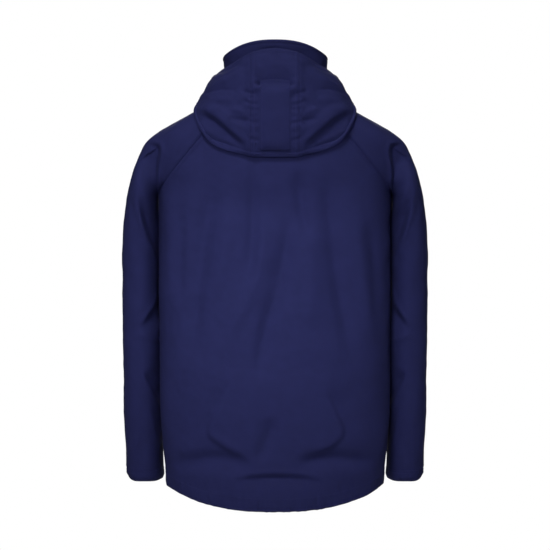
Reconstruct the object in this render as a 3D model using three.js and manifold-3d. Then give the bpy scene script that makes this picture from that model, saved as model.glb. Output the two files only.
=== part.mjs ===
// A hooded foul weather sailing jacket, as worn and zipped up, with its hood down.
// Millimetres, +Z up, front towards -Y, the wearer's left towards +X.
// The origin is inside the back of the neck, under the middle of the hanger loop's top bar. The pieces
// are drawn from the middle of the neck, and the group that holds them moves them back from there.
import * as THREE from "three";
import { mergeVertices } from "three/addons/utils/BufferGeometryUtils.js";
import Module from "manifold-3d";

const wasm = await Module();
wasm.setup();

// ---- Driving dimensions ----

const SEAM_GAP = 0.8; // between the edges of two panels sewn together
const SHELL = 3; // outer fabric with its membrane
const LINING = 1.5;
const LINING_INSET = 5; // from the shell's outer face to the lining's outer face

const NECK_LEVEL = -8; // height of the neck seam at the side of the neck
const ARMPIT_LEVEL = -200;
const HEM_LEVEL = -733; // height of the hem at the side seam
const COLLAR_TOP_FRONT = 22;
const LOOP_BACK = 61; // from the middle of the neck back to the hanger loop

// Each profile lists [level, value] pairs, from the neck seam down to the hem.
const HALF_WIDTH = [[-8, 92], [-25, 108], [-42, 132], [-55, 156], [-66, 180], [-78, 202], [-95, 219],
  [-140, 222], [-195, 216], [-330, 214], [-450, 213], [-580, 211.5], [-655, 207], [-733, 199]];
const BACK_DEPTH = [[-8, 78], [-42, 97], [-66, 111], [-95, 120], [-140, 125], [-195, 126], [-450, 122],
  [-733, 116]];
const BACK_RISE = [[-8, 8], [-25, 11], [-42, 12], [-55, 7], [-66, 2], [-95, -3], [-140, 0], [-600, 0],
  [-733, -38]];
const FRONT_RISE = [[-8, -54], [-25, -47], [-42, -42], [-55, -40], [-66, -38], [-78, -34], [-95, -27],
  [-140, -10], [-195, -4], [-300, 0], [-733, -5]];
const BODY_SQUARENESS = 2.4; // 2 is an ellipse, and more is squarer

// The centre front is one straight line, leaning back towards the collar, so that the zip can run along it.
const FRONT_TOP = new THREE.Vector3(0, -104, COLLAR_TOP_FRONT);
const FRONT_BOTTOM = new THREE.Vector3(0, -140, -740);
const FRONT_LENGTH = FRONT_TOP.distanceTo(FRONT_BOTTOM);
const FRONT_LEAN = Math.atan2(FRONT_TOP.y - FRONT_BOTTOM.y, FRONT_TOP.z - FRONT_BOTTOM.z);
const ZIP_SLOT = 7; // half the width of the slot that the zip runs in

// The raglan seams run straight, seen from behind, from the neck seam to the armpit.
const RAGLAN_BACK = { x: 48, z: -4, slope: 0.86 };
const RAGLAN_FRONT = { x: 48, z: -55, slope: 1.168 };

// The sleeve swings at the shoulder, about a line along Y.
const SHOULDER = { x: 222, z: -150, capRadius: 45, sleeveRadius: 51 };
const SHOULDER_LINE = [[0, 92, -8], [0.25, 135, -43], [0.5, 180, -66.5], [0.7, 219, -89], [0.85, 245, -113],
  [1, 266, -169]].map(([s, x, z]) => ({ s, x, z }));
const CUFF_LEVEL = -735;
const SLEEVE_CENTRE_X = [[-200, 245], [-260, 247.5], [-333, 249.3], [-450, 248.5], [-580, 247.5], [-655, 246],
  [-735, 243.5]];
const SLEEVE_CENTRE_Y = [[-200, -4], [-333, -26], [-450, -36], [-580, -44], [-735, -52]];
const SLEEVE_HALF_WIDTH = [[-200, 29], [-260, 33], [-333, 35.5], [-580, 36], [-735, 34.5]];
const SLEEVE_HALF_DEPTH = [[-200, 74], [-333, 73], [-450, 70], [-580, 65], [-735, 60]];
const SLEEVE_SQUARENESS = 2.3;
const SLEEVE_LEVELS = [-230, -290, -333, -390, -480, -580, -668];

// ---- Materials ----

const fabric = (color, roughness = 0.85) => new THREE.MeshStandardMaterial({ color, roughness, metalness: 0 });
const SHELL_FABRIC = fabric(0x23254a);
const LINING_FABRIC = fabric(0x1b1e38, 0.7);
const FLEECE = fabric(0x20233f, 0.95);
const HOOK_AND_LOOP = fabric(0x191b30, 0.95);
const ZIP_TAPE = fabric(0x16182c, 0.8);
const MOULDED = fabric(0x14151f, 0.45);
const ELASTIC = fabric(0x1d1f33, 0.7);
const LABEL = fabric(0x8d92a0, 0.8);
const METAL = new THREE.MeshStandardMaterial({ color: 0x8b8f96, roughness: 0.35, metalness: 0.9 });

// ---- Helpers ----

const jacket = new THREE.Group();
const worn = new THREE.Group();
worn.position.y = -LOOP_BACK;
jacket.add(worn);

// A panel's mesh, added to the jacket or to the group given.
function add(name, geometry, material, parent = worn) {
  const mesh = new THREE.Mesh(geometry, material);
  mesh.name = name;
  parent.add(mesh);
  return mesh;
}

// The same piece on the wearer's left and, mirrored, on the right.
function addPair(name, geometry, material, parent = worn) {
  add(name + "_left", geometry, material, parent);
  add(name + "_right", geometry, material, parent).scale.x = -1;
}

// The value of a profile of [position, value] pairs at t, on one smooth curve through them.
function profile(pairs, t) {
  const sign = Math.sign(pairs[pairs.length - 1][0] - pairs[0][0]);
  const slope = (i, k) => (pairs[k][1] - pairs[i][1]) / (pairs[k][0] - pairs[i][0]);
  let i = 0;
  while (i < pairs.length - 2 && sign * (t - pairs[i + 1][0]) > 0) i++;
  const [t0, v0] = pairs[i];
  const [t1, v1] = pairs[i + 1];
  const width = t1 - t0;
  const u = THREE.MathUtils.clamp((t - t0) / width, 0, 1);
  const m0 = i > 0 ? slope(i - 1, i + 1) : slope(i, i + 1);
  const m1 = i < pairs.length - 2 ? slope(i, i + 2) : slope(i, i + 1);
  return v0 * (2 * u ** 3 - 3 * u ** 2 + 1) + v1 * (3 * u ** 2 - 2 * u ** 3)
    + width * (m0 * (u ** 3 - 2 * u ** 2 + u) + m1 * (u ** 3 - u ** 2));
}

// A cosine or sine bent towards a square corner: 2 is round, and more is squarer.
const bent = (value, squareness) => Math.sign(value) * Math.abs(value) ** (2 / squareness);

// Evenly spaced numbers from one to the other, both included.
const steps = (from, to, count) =>
  Array.from({ length: count + 1 }, (_, i) => from + ((to - from) * i) / count);

// A closed sheet of cloth. The rows of points lie on its outer face, and `outward` is 1 where
// (down the rows) x (along the columns) points out of the jacket, or -1. A ring of columns closes on itself.
function sheet(rows, thickness, { outward = 1, ring = false } = {}) {
  const last = rows.length - 1;
  const columns = rows[0].length;
  const at = (i, j) => rows[i][ring ? (j + columns) % columns : THREE.MathUtils.clamp(j, 0, columns - 1)];
  const position = [];
  for (let i = 0; i <= last; i++) for (let j = 0; j < columns; j++) position.push(...at(i, j).toArray());
  for (let i = 0; i <= last; i++) for (let j = 0; j < columns; j++) {
    const down = at(Math.min(i + 1, last), j).clone().sub(at(Math.max(i - 1, 0), j));
    const along = at(i, j + 1).clone().sub(at(i, j - 1));
    const normal = down.cross(along).normalize().multiplyScalar(outward);
    position.push(...at(i, j).clone().addScaledVector(normal, -thickness).toArray());
  }
  const count = rows.length * columns;
  const outer = (i, j) => i * columns + (j % columns);
  const inner = (i, j) => count + outer(i, j);
  const index = [];
  const quad = (a, b, c, d) => index.push(...(outward > 0 ? [a, b, c, a, c, d] : [a, c, b, a, d, c]));
  const spans = ring ? columns : columns - 1;
  for (let i = 0; i < last; i++) for (let j = 0; j < spans; j++) {
    quad(outer(i, j), outer(i + 1, j), outer(i + 1, j + 1), outer(i, j + 1));
    quad(inner(i, j + 1), inner(i + 1, j + 1), inner(i + 1, j), inner(i, j));
  }
  for (let j = 0; j < spans; j++) {
    quad(outer(0, j), outer(0, j + 1), inner(0, j + 1), inner(0, j));
    quad(outer(last, j + 1), outer(last, j), inner(last, j), inner(last, j + 1));
  }
  for (let i = 0; i < last && !ring; i++) {
    quad(outer(i + 1, 0), outer(i, 0), inner(i, 0), inner(i + 1, 0));
    quad(outer(i, spans), outer(i + 1, spans), inner(i + 1, spans), inner(i, spans));
  }
  return new THREE.BufferGeometry()
    .setAttribute("position", new THREE.Float32BufferAttribute(position, 3)).setIndex(index);
}

// A box between two corners.
function box(low, high) {
  const size = high.map((value, axis) => value - low[axis]);
  return new THREE.BoxGeometry(...size).translate(...low.map((value, axis) => value + size[axis] / 2));
}

// A cylinder with its middle at a point and its axis along Y.
const disc = (radius, height, x, y, z, sides = 20) =>
  new THREE.CylinderGeometry(radius, radius, height, sides).translate(x, y, z);

// A straight bar whose outline is a list of [x, y] corners, from one height to another.
const bar = (outline, from, to) =>
  new THREE.ExtrudeGeometry(new THREE.Shape(outline.map(([x, y]) => new THREE.Vector2(x, y))),
    { depth: to - from, bevelEnabled: false }).translate(0, 0, from);

// One solid of several closed geometries that overlap.
function joined(...geometries) {
  const solids = geometries.map((geometry) => {
    const bare = geometry.clone().deleteAttribute("normal").deleteAttribute("uv");
    const merged = mergeVertices(bare, 1e-4);
    return new wasm.Manifold(new wasm.Mesh({ numProp: 3,
      vertProperties: merged.attributes.position.array, triVerts: new Uint32Array(merged.index.array) }));
  });
  const mesh = solids.reduce((all, solid) => all.add(solid)).getMesh();
  return new THREE.BufferGeometry()
    .setAttribute("position", new THREE.BufferAttribute(mesh.vertProperties, 3))
    .setIndex(new THREE.BufferAttribute(mesh.triVerts, 1));
}

// ---- The body's surface ----

const frontLineY = (z) =>
  THREE.MathUtils.mapLinear(z, FRONT_BOTTOM.z, FRONT_TOP.z, FRONT_BOTTOM.y, FRONT_TOP.y);

// A point on the body at an angle round it, 0 at the left side and 90 degrees at the centre back.
function bodyPoint(angle, level, inset = 0) {
  const back = Math.sin(angle) > 0;
  const rise = profile(back ? BACK_RISE : FRONT_RISE, level);
  const depth = back ? profile(BACK_DEPTH, level) : -frontLineY(level + rise);
  return new THREE.Vector3(
    (profile(HALF_WIDTH, level) - inset) * bent(Math.cos(angle), BODY_SQUARENESS),
    (depth - inset) * bent(Math.sin(angle), BODY_SQUARENESS),
    level + rise * Math.sin(angle) ** 2);
}

// The angle at which the body's level crosses a line x(z): 0 where the line is outside the body.
function angleWhere(lineX, level, side) {
  let [low, high] = [0, Math.PI / 2];
  for (let i = 0; i < 40; i++) {
    const middle = (low + high) / 2;
    const point = bodyPoint(side * middle, level);
    if (point.x > lineX(point.z)) low = middle;
    else high = middle;
  }
  return side * low;
}

const raglanX = ({ x, z, slope }, gap) => (height) => x + slope * (z - height) + gap;
const backSeam = (level, gap = 0) => angleWhere(raglanX(RAGLAN_BACK, gap), level, 1);
const frontSeam = (level, gap = 0) => angleWhere(raglanX(RAGLAN_FRONT, gap), level, -1);
const zipEdge = (level, halfSlot = ZIP_SLOT) => angleWhere(() => halfSlot, level, -1);

const BODY_LEVELS = [-8, -25, -42, -60, -80, -110, -150, -180, -200, -260, -350, -450, -550, -620, -680, -733];

// A body panel between two angles, each a function of the level. `seam` is half the gap at a side seam.
function bodyPanel(levels, fromAngle, toAngle, columns, thickness, seam, inset = 0) {
  return sheet(levels.map((level) => steps(fromAngle(level), toAngle(level), columns)
    .map((angle) => bodyPoint(angle, level, inset).add(new THREE.Vector3(0, seam, 0)))), thickness);
}

function backPanel() {
  const from = (level) => backSeam(level, -SEAM_GAP);
  return bodyPanel(BODY_LEVELS, from, (level) => Math.PI - from(level), 16, SHELL, SEAM_GAP / 2);
}

function frontPanel() {
  const levels = BODY_LEVELS.filter((level) => level !== -42);
  return bodyPanel(levels, (level) => zipEdge(level), (level) => frontSeam(level, -SEAM_GAP), 9, SHELL,
    -SEAM_GAP / 2);
}

// The lining hangs inside the shell from just under the armholes to above the hem.
const LINING_LEVELS = [-212, -300, -420, -560, -690];
const LINING_FRONT_EDGE = 40; // it stops at the facing beside the zip

function backLining() {
  return bodyPanel(LINING_LEVELS, () => 0, () => Math.PI, 14, LINING, SEAM_GAP / 2, LINING_INSET);
}

function frontLining() {
  return bodyPanel(LINING_LEVELS, (level) => zipEdge(level, LINING_FRONT_EDGE), () => 0, 7, LINING, -SEAM_GAP / 2,
    LINING_INSET);
}

// ---- Shoulders and sleeves ----

// The quarter or longer arc from the shoulder line round to a point on the raglan seam.
function shoulderArc(top, seam, depth, share) {
  const reach = Math.max(Math.abs(seam.y), depth);
  const end = Math.PI - Math.asin((Math.abs(seam.y) / reach) ** (SLEEVE_SQUARENESS / 2));
  const angle = share * end;
  const along = (1 - bent(Math.cos(angle), SLEEVE_SQUARENESS)) / (1 - bent(Math.cos(end), SLEEVE_SQUARENESS));
  return new THREE.Vector3(THREE.MathUtils.lerp(top.x, seam.x, along),
    Math.sign(seam.y) * reach * bent(Math.sin(angle), SLEEVE_SQUARENESS), THREE.MathUtils.lerp(top.z, seam.z, along));
}

// The raglan shoulder, at a share s of the way from the neck to the armhole and w of the way
// from the front seam, at -1, over the shoulder to the back seam, at 1.
function shoulderPoint(s, w) {
  const level = THREE.MathUtils.lerp(NECK_LEVEL, ARMPIT_LEVEL, s ** 1.1);
  const seamAngle = w > 0 ? backSeam(level, SEAM_GAP) : frontSeam(level, SEAM_GAP);
  const seam = bodyPoint(seamAngle, level);
  seam.y += (w > 0 ? 1 : -1) * SEAM_GAP;
  const top = {
    x: profile(SHOULDER_LINE.map((p) => [p.s, p.x]), s),
    z: profile(SHOULDER_LINE.map((p) => [p.s, p.z]), s),
  };
  const depth = THREE.MathUtils.smoothstep(s, 0.5, 1) * 74;
  const onArc = shoulderArc(top, seam, depth, Math.abs(w));
  const onBody = bodyPoint(seamAngle * Math.abs(w), level);
  return onBody.lerp(onArc, THREE.MathUtils.smoothstep(s, 0, 0.45));
}

function shoulder() {
  const rows = steps(0, 1, 9).map((s) => steps(-1, 1, 16).map((w) => shoulderPoint(s, w)));
  return sheet(rows, SHELL);
}

// The highest that the sleeve's tube reaches over a point, so that it swings clear of the shoulder.
function sleeveTop(x, radius = SHOULDER.sleeveRadius) {
  const offset = Math.min(Math.abs(x - SHOULDER.x), radius * 0.92);
  return SHOULDER.z - Math.sqrt(radius ** 2 - offset ** 2);
}

// A ring of points round the sleeve, from the underarm round the front, the outside and the back.
function sleeveRing(level, inset, count, top = null) {
  const centre = [profile(SLEEVE_CENTRE_X, level), profile(SLEEVE_CENTRE_Y, level)];
  const half = [profile(SLEEVE_HALF_WIDTH, level) - inset, profile(SLEEVE_HALF_DEPTH, level) - inset];
  return steps(0, 2 * Math.PI, count).slice(0, -1).map((angle) => {
    const x = centre[0] + half[0] * bent(Math.cos(angle), SLEEVE_SQUARENESS);
    const y = centre[1] + half[1] * bent(Math.sin(angle), SLEEVE_SQUARENESS);
    return new THREE.Vector3(x, y, top ? top(x) : level);
  });
}

function sleeveTube(levels, inset, thickness, count, radius) {
  const rows = [sleeveRing(-200, inset, count, (x) => sleeveTop(x, radius)),
    ...levels.map((level) => sleeveRing(level, inset, count))];
  return sheet(rows, thickness, { ring: true });
}

function innerCuff() {
  const rows = [[-653, 7], [-693, 12], [-725, 14]].map(([level, inset]) => sleeveRing(level, inset, 16));
  return sheet(rows, 2, { ring: true });
}

// The cuff tab is sewn to the outside of the sleeve and wraps round its front.
const CUFF_TAB = { high: -690, low: -722, sewn: -0.49, free: -1.75, standOff: 1.9, thickness: 1.8 };

// A strip round the cuff between two angles, its outer face at a distance from the sleeve's.
function cuffStrip(from, to, distance, thickness, margin) {
  const rows = [CUFF_TAB.high - margin, CUFF_TAB.low + margin].map((level) => steps(to, from, 9).map((angle) => {
    const x = profile(SLEEVE_CENTRE_X, level)
      + (profile(SLEEVE_HALF_WIDTH, level) + distance) * bent(Math.cos(angle), SLEEVE_SQUARENESS);
    const y = profile(SLEEVE_CENTRE_Y, level)
      + (profile(SLEEVE_HALF_DEPTH, level) + distance) * bent(Math.sin(angle), SLEEVE_SQUARENESS);
    return new THREE.Vector3(x, y, level);
  }));
  return sheet(rows, thickness);
}

const cuffTab = () => cuffStrip(CUFF_TAB.sewn, CUFF_TAB.free, CUFF_TAB.standOff + CUFF_TAB.thickness,
  CUFF_TAB.thickness, 0);
const cuffPatch = () => cuffStrip(CUFF_TAB.sewn - 0.25, CUFF_TAB.free - 0.15, 1.4, 1.1, 4);

// ---- Collar ----

const COLLAR_WALL = 4;
const COLLAR_RIM = { halfWidth: 97, depth: 80, back: 75, side: 52, front: COLLAR_TOP_FRONT };

// A point on the collar, 0 at the neck seam and 1 at the rim.
function collarPoint(angle, share, inset) {
  const back = Math.sin(angle) > 0;
  const seat = bodyPoint(angle, NECK_LEVEL);
  const end = back ? COLLAR_RIM.back : COLLAR_RIM.front;
  const rimZ = THREE.MathUtils.lerp(COLLAR_RIM.side, end, Math.sin(angle) ** 2);
  const z = THREE.MathUtils.lerp(seat.z + 1.2, rimZ, share);
  const halfWidth = THREE.MathUtils.lerp(profile(HALF_WIDTH, NECK_LEVEL), COLLAR_RIM.halfWidth, share);
  const backDepth = THREE.MathUtils.lerp(profile(BACK_DEPTH, NECK_LEVEL), COLLAR_RIM.depth, share);
  const depth = back ? backDepth : -frontLineY(z);
  return new THREE.Vector3((halfWidth - inset) * bent(Math.cos(angle), BODY_SQUARENESS),
    (depth - inset) * bent(Math.sin(angle), BODY_SQUARENESS), z);
}

function collar(inset, thickness, shares, halfSlot) {
  const edge = Math.asin((halfSlot / profile(HALF_WIDTH, NECK_LEVEL)) ** (BODY_SQUARENESS / 2));
  const rows = shares.map((share) => steps(edge - Math.PI / 2, (3 * Math.PI) / 2 - edge, 26)
    .map((angle) => collarPoint(angle, share, inset)));
  return sheet(rows, thickness);
}

// ---- Hood, hanging down the back ----

const HOOD = 3;
// Four curves across the left half of the hood, from the centre back, at 0, to the front corner, at 1.
const HOOD_CURVES = [
  { u: 0, rim: [0, 108, 54], high: [0, 152, 55], low: [0, 173, -100], base: [0, 131, -141] },
  { u: 0.2, rim: [43, 102, 50], high: [43, 150, 50], low: [43, 170, -102], base: [43, 130.5, -139] },
  { u: 0.4, rim: [84, 70, 37], high: [104, 108, 30], low: [118, 150, -88], base: [105, 121, -121] },
  { u: 0.55, rim: [101, 38, 27], high: [119, 62, 18], low: [146, 126, -70], base: [133, 113, -90] },
  { u: 0.7, rim: [108, 8, 14], high: [120, 30, 14], low: [148, 82, -46], base: [152, 77, -53] },
  { u: 0.85, rim: [109, -26, -2], high: [121, -18, 3], low: [139, 8, -24], base: [141, 8, -34] },
  { u: 0.93, rim: [105, -55, -18], high: [115, -52, -14], low: [126, -42, -26], base: [124, -42, -34] },
  { u: 1, rim: [92, -82, -34], high: [96, -84, -32], low: [99, -85, -38], base: [96, -84, -42] },
];

function hoodCurve(name, u) {
  const of = (axis) => profile(HOOD_CURVES.map((curve) => [curve.u, curve[name][axis]]), Math.abs(u));
  return new THREE.Vector3(Math.sign(u || 1) * of(0), of(1), of(2));
}

// A point on the hood's outer face, at 0 on its rim and 1 on its lower edge.
function hoodPoint(u, share) {
  return new THREE.CubicBezierCurve3(...["rim", "high", "low", "base"].map((name) => hoodCurve(name, u)))
    .getPoint(share);
}

const HOOD_SEAM = 0.2; // the seams on each side of the centre panel

function hoodPanel(from, to, columns, rows) {
  const grid = steps(0, 1, rows).map((share) => steps(from, to, columns).map((u) => hoodPoint(u, share)));
  return sheet(grid, HOOD, { outward: -1 });
}

// The neck panel lies under the hood, from the neck seam down the back.
function hoodNeckPanel() {
  const rows = [-9, -40, -75, -112].map((level) => steps(-1, 1, 12).map((share) => {
    const angle = Math.PI / 2 - share * THREE.MathUtils.mapLinear(level, -9, -112, 0.72, 0.36);
    const point = bodyPoint(angle, level);
    const outwards = new THREE.Vector3(0, 1, 0.35).normalize();
    return point.addScaledVector(outwards, 2.6 + LINING);
  }));
  return sheet(rows, LINING, { outward: -1 });
}

// The volume tab is sewn along its top edge to the hood's centre panel.
const HOOD_TAB = { halfWidth: 26, from: 0.4, to: 0.9, thickness: 2, standOff: 2.6 };
const HOOD_PATCH = { halfWidth: 18, from: 0.62, to: 0.93, thickness: 1.2, standOff: 0.5 };

function onHood({ halfWidth, from, to, thickness, standOff }, rows) {
  const grid = steps(from, to, rows).map((share) => steps(-halfWidth, halfWidth, 4).map((x) => {
    const point = hoodPoint(0, share);
    const slope = hoodPoint(0, share + 0.02).sub(hoodPoint(0, share - 0.02));
    const normal = new THREE.Vector3(0, -slope.z, slope.y).normalize();
    point.addScaledVector(normal, standOff + thickness);
    point.x = x;
    return point;
  }));
  return sheet(grid, thickness, { outward: -1 });
}

// A ring with its middle on the hood's left side, facing forwards.
function eyelet() {
  const ring = new THREE.Shape().absarc(0, 0, 5, 0, 2 * Math.PI, false);
  ring.holes.push(new THREE.Path().absarc(0, 0, 2.5, 0, 2 * Math.PI, true));
  const geometry = new THREE.ExtrudeGeometry(ring, { depth: 1.2, bevelEnabled: false, curveSegments: 8 });
  const outer = hoodPoint(0.86, 0.5);
  const around = hoodPoint(0.9, 0.5).sub(hoodPoint(0.82, 0.5));
  const facing = around.cross(hoodPoint(0.86, 0.6).sub(hoodPoint(0.86, 0.4)));
  const turn = new THREE.Quaternion().setFromUnitVectors(new THREE.Vector3(0, 0, 1), facing.normalize());
  return geometry.applyQuaternion(turn).translate(...outer.addScaledVector(facing, 0.8).toArray());
}

// ---- Front: zip, storm flap and studs ----

// This group's origin is at the top of the centre front, its -Z runs down the zip and its -Y points out.
const front = new THREE.Group();
front.position.copy(FRONT_TOP);
front.rotation.x = -FRONT_LEAN;
worn.add(front);

const ZIP = { top: -6, bottom: -752, chainFrom: 1.3, chainTo: 3.4, chainFront: 1.2, chainBack: 5.8 };
const TAPE = { from: 3.7, to: 16, front: 5.6, back: 6.4 };
const SLIDER = { top: -8, height: 14, halfWidth: 5.4, front: -1.4, back: 7.8, plate: 1.4, post: 0.9 };
const PULL = { pivotY: -3.6, pivotZ: -13, length: 30, halfWidth: 4, bar: 0.7, window: 5 };
const FLAP = { sewn: 34, free: -38, inner: -7.6, outer: -10, top: -52, bottom: -757 };
const STUD = { x: -24, offsets: [-68, -741] };

// One half of the zip's chain: a cord with moulded teeth, drawn as a plain strip.
const zipChain = () => box([ZIP.chainFrom, ZIP.chainFront, ZIP.bottom], [ZIP.chainTo, ZIP.chainBack, ZIP.top]);
const zipTape = () => box([TAPE.from, TAPE.front, ZIP.bottom], [TAPE.to, TAPE.back, ZIP.top]);

// The retainer box that closes the foot of the zip.
const zipBox = () => box([-4.6, -1, ZIP.bottom - 9], [4.6, 6, ZIP.bottom - 0.4]);

// Two plates joined by a post between the chains, with a bridge on the front plate that holds the pull.
function zipSlider() {
  const { top, height, halfWidth, front: face, back, plate, post } = SLIDER;
  const bottom = top - height;
  const bridge = { halfWidth: 1.2, wall: 1.3, out: PULL.pivotY - 2.6 };
  bridge.from = PULL.pivotZ + 3.6;
  bridge.to = PULL.pivotZ - 3.6;
  const leg = (from, to) => box([-bridge.halfWidth, bridge.out, from], [bridge.halfWidth, face + 0.2, to]);
  return joined(
    box([-halfWidth, face, bottom], [halfWidth, face + plate + 0.4, top]),
    box([-halfWidth, back - plate, bottom], [halfWidth, back, top]),
    box([-post, face + 0.2, top - 5], [post, back - 0.2, top]),
    box([-bridge.halfWidth, bridge.out, bridge.to], [bridge.halfWidth, bridge.out + bridge.wall, bridge.from]),
    leg(bridge.from - bridge.wall, bridge.from),
    leg(bridge.to, bridge.to + bridge.wall));
}

// A flat tongue with a window at its top, whose top bar passes under the slider's bridge.
function zipPull() {
  const { pivotY, pivotZ, length, halfWidth, bar: half, window } = PULL;
  const outline = new THREE.Shape([[-halfWidth, half], [-halfWidth, -window - 3], [-halfWidth - 0.8, -length],
    [halfWidth + 0.8, -length], [halfWidth, -window - 3], [halfWidth, half]].map(([x, z]) => new THREE.Vector2(x, z)));
  outline.holes.push(new THREE.Path([[-2.2, -half], [2.2, -half], [2.2, -window], [-2.2, -window]]
    .map(([x, z]) => new THREE.Vector2(x, z))));
  return new THREE.ExtrudeGeometry(outline, { depth: 2 * half, bevelEnabled: false })
    .rotateX(Math.PI / 2).translate(0, pivotY + half, pivotZ);
}

// The flap's section stands off the zip and comes back to the shell at both edges.
function stormFlap() {
  const { sewn, free, inner, outer, top, bottom } = FLAP;
  return bar([[sewn, -0.8], [sewn, -3], [sewn - 9, outer], [free + 5, outer], [free, -2.6], [free, -0.8],
    [free + 2.4, -0.8], [free + 6.4, inner], [sewn - 10.5, inner], [sewn - 3, -0.8]], bottom, top);
}

const stripLength = { from: FLAP.bottom + 40, to: FLAP.top - 40 };
const hookStrip = () => box([-32, -1.9, stripLength.from], [-12, -0.5, stripLength.to]);
const loopStrip = () => box([-30, FLAP.inner + 0.3, stripLength.from], [-12, FLAP.inner + 1.5, stripLength.to]);

// The inner guard hangs behind the zip, sewn beside the left tape.
const innerGuard = () => box([-15, 8.6, ZIP.bottom], [15, 9.8, ZIP.top - 6]);

// ---- Pockets ----

const POCKET = { from: 62, to: 172, top: -525, bottom: -690, depth: 14, ramp: 9, wall: 2 };
const POCKET_FLAP = { from: 58, to: 176, top: -496, bottom: -572, wall: 2, standOff: 18.4, slant: 20 };

// A point on the front of the body at a given x and height, moved out by `out`.
function frontPoint(x, z, out) {
  const halfWidth = profile(HALF_WIDTH, z);
  const shape = (px) => frontLineY(z) * (1 - (px / halfWidth) ** BODY_SQUARENESS) ** (1 / BODY_SQUARENESS);
  const slope = (shape(x + 0.5) - shape(x - 0.5));
  const normal = new THREE.Vector3(slope, -1, 0).normalize();
  return new THREE.Vector3(x, shape(x), z).addScaledVector(normal, out);
}

// A patch that stands off the front panel, open along its top edge.
function pocket() {
  const { from, to, top, bottom, depth, ramp, wall } = POCKET;
  const edge = [0, ramp * 0.35, ramp, ramp + 8];
  const xs = [...edge.map((e) => from + e), ...steps(from + 34, to - 34, 3), ...edge.map((e) => to - e).reverse()];
  const zs = [top, (top + bottom) / 2, bottom + ramp + 8, bottom + ramp, bottom + ramp * 0.35, bottom];
  const rows = zs.map((z) => xs.map((x) => {
    const inside = Math.min(x - from, to - x, z - bottom);
    return frontPoint(x, z, wall + 1 + depth * THREE.MathUtils.smoothstep(inside, 0, ramp));
  }));
  return sheet(rows, wall);
}

// The flap is sewn above the pocket's mouth and stands out over it.
function pocketFlap() {
  const { from, to, top, bottom, wall, standOff, slant } = POCKET_FLAP;
  const zs = [top, top - slant * 0.5, top - slant, (top + bottom) / 2 - 6, bottom];
  const rows = zs.map((z) => steps(from, to, 8).map((x) => {
    const out = THREE.MathUtils.lerp(wall + 1, standOff + wall, THREE.MathUtils.smoothstep(top - z, 0, slant));
    return frontPoint(x, z, out);
  }));
  return sheet(rows, wall);
}

// ---- Hem ----

const HEM = { facing: 28, gap: 4.6, cordRadius: 1.5, cordRise: 8 };
const LOCK = { angle: -0.05, level: -712, radius: 7, length: 20, bore: 5, boreFloor: -1 };
const BUTTON = { radius: 4.5, from: 4, to: 14.5 };

// The facing turned up inside the back hem, which makes the cord's channel.
function hemFacing() {
  const levels = [HEM_LEVEL + HEM.facing, HEM_LEVEL + HEM.facing / 2, HEM_LEVEL];
  return bodyPanel(levels, () => 0.06, () => Math.PI - 0.06, 16, LINING, 0, SHELL + HEM.gap);
}

// The elastic cord inside the hem, round the back from one cord lock to the other.
function hemCord() {
  const inset = SHELL + HEM.gap / 2;
  const points = steps(0.02, Math.PI - 0.02, 24)
    .map((angle) => bodyPoint(angle, HEM_LEVEL + HEM.cordRise, inset));
  const section = new THREE.Shape().absarc(0, 0, HEM.cordRadius, 0, 2 * Math.PI, false);
  const extrudePath = new THREE.CatmullRomCurve3(points);
  return new THREE.ExtrudeGeometry(section, { steps: 44, curveSegments: 4, extrudePath });
}

function lockPlace() {
  return bodyPoint(LOCK.angle, LOCK.level, SHELL + LOCK.radius + 3);
}

// A barrel with a bore in its top, turned about its own upright axis.
function cordLock() {
  const half = LOCK.length / 2;
  const profilePoints = [[0, -half], [LOCK.radius, -half], [LOCK.radius, half], [LOCK.bore, half],
    [LOCK.bore, LOCK.boreFloor], [0, LOCK.boreFloor]].map(([x, z]) => new THREE.Vector2(x, z));
  return new THREE.LatheGeometry(profilePoints, 18).rotateX(Math.PI / 2).translate(...lockPlace().toArray());
}

// The button slides down in the bore against a spring.
function cordLockButton() {
  const { x, y, z } = lockPlace();
  const button = new THREE.CylinderGeometry(BUTTON.radius, BUTTON.radius, BUTTON.to - BUTTON.from, 18);
  return button.rotateX(Math.PI / 2).translate(x, y, z + (BUTTON.from + BUTTON.to) / 2);
}

// ---- Neck trim ----

const LOOP = { halfWidth: 32, drop: 22, tape: 8, wall: 1.6 };

// A tape arch: its flat top bar hangs on a hook, and its feet are sewn at the neck seam.
function hangerLoop() {
  const { halfWidth, drop, tape, wall } = LOOP;
  const outline = new THREE.Shape([[-halfWidth, -drop], [-halfWidth, -4], [-halfWidth + 5.5, wall],
    [halfWidth - 5.5, wall], [halfWidth, -4], [halfWidth, -drop], [halfWidth - wall, -drop],
    [halfWidth - wall, -4.6], [halfWidth - 6.2, 0], [-halfWidth + 6.2, 0], [-halfWidth + wall, -4.6],
    [-halfWidth + wall, -drop]].map(([x, z]) => new THREE.Vector2(x, z)));
  return new THREE.ExtrudeGeometry(outline, { depth: tape, bevelEnabled: false })
    .rotateX(Math.PI / 2).translate(0, LOOP_BACK + tape / 2, 0);
}

// ---- Assembly ----

add("back_panel", backPanel(), SHELL_FABRIC);
addPair("front_panel", frontPanel(), SHELL_FABRIC);
addPair("shoulder", shoulder(), SHELL_FABRIC);
add("back_lining", backLining(), LINING_FABRIC);
addPair("front_lining", frontLining(), LINING_FABRIC);
add("collar_shell", collar(0, COLLAR_WALL, [1, 0.5, 0], ZIP_SLOT), SHELL_FABRIC);
add("collar_lining", collar(COLLAR_WALL + 1, 3, [0.97, 0.5, 0.03], TAPE.to + 1.5), FLEECE);

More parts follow.
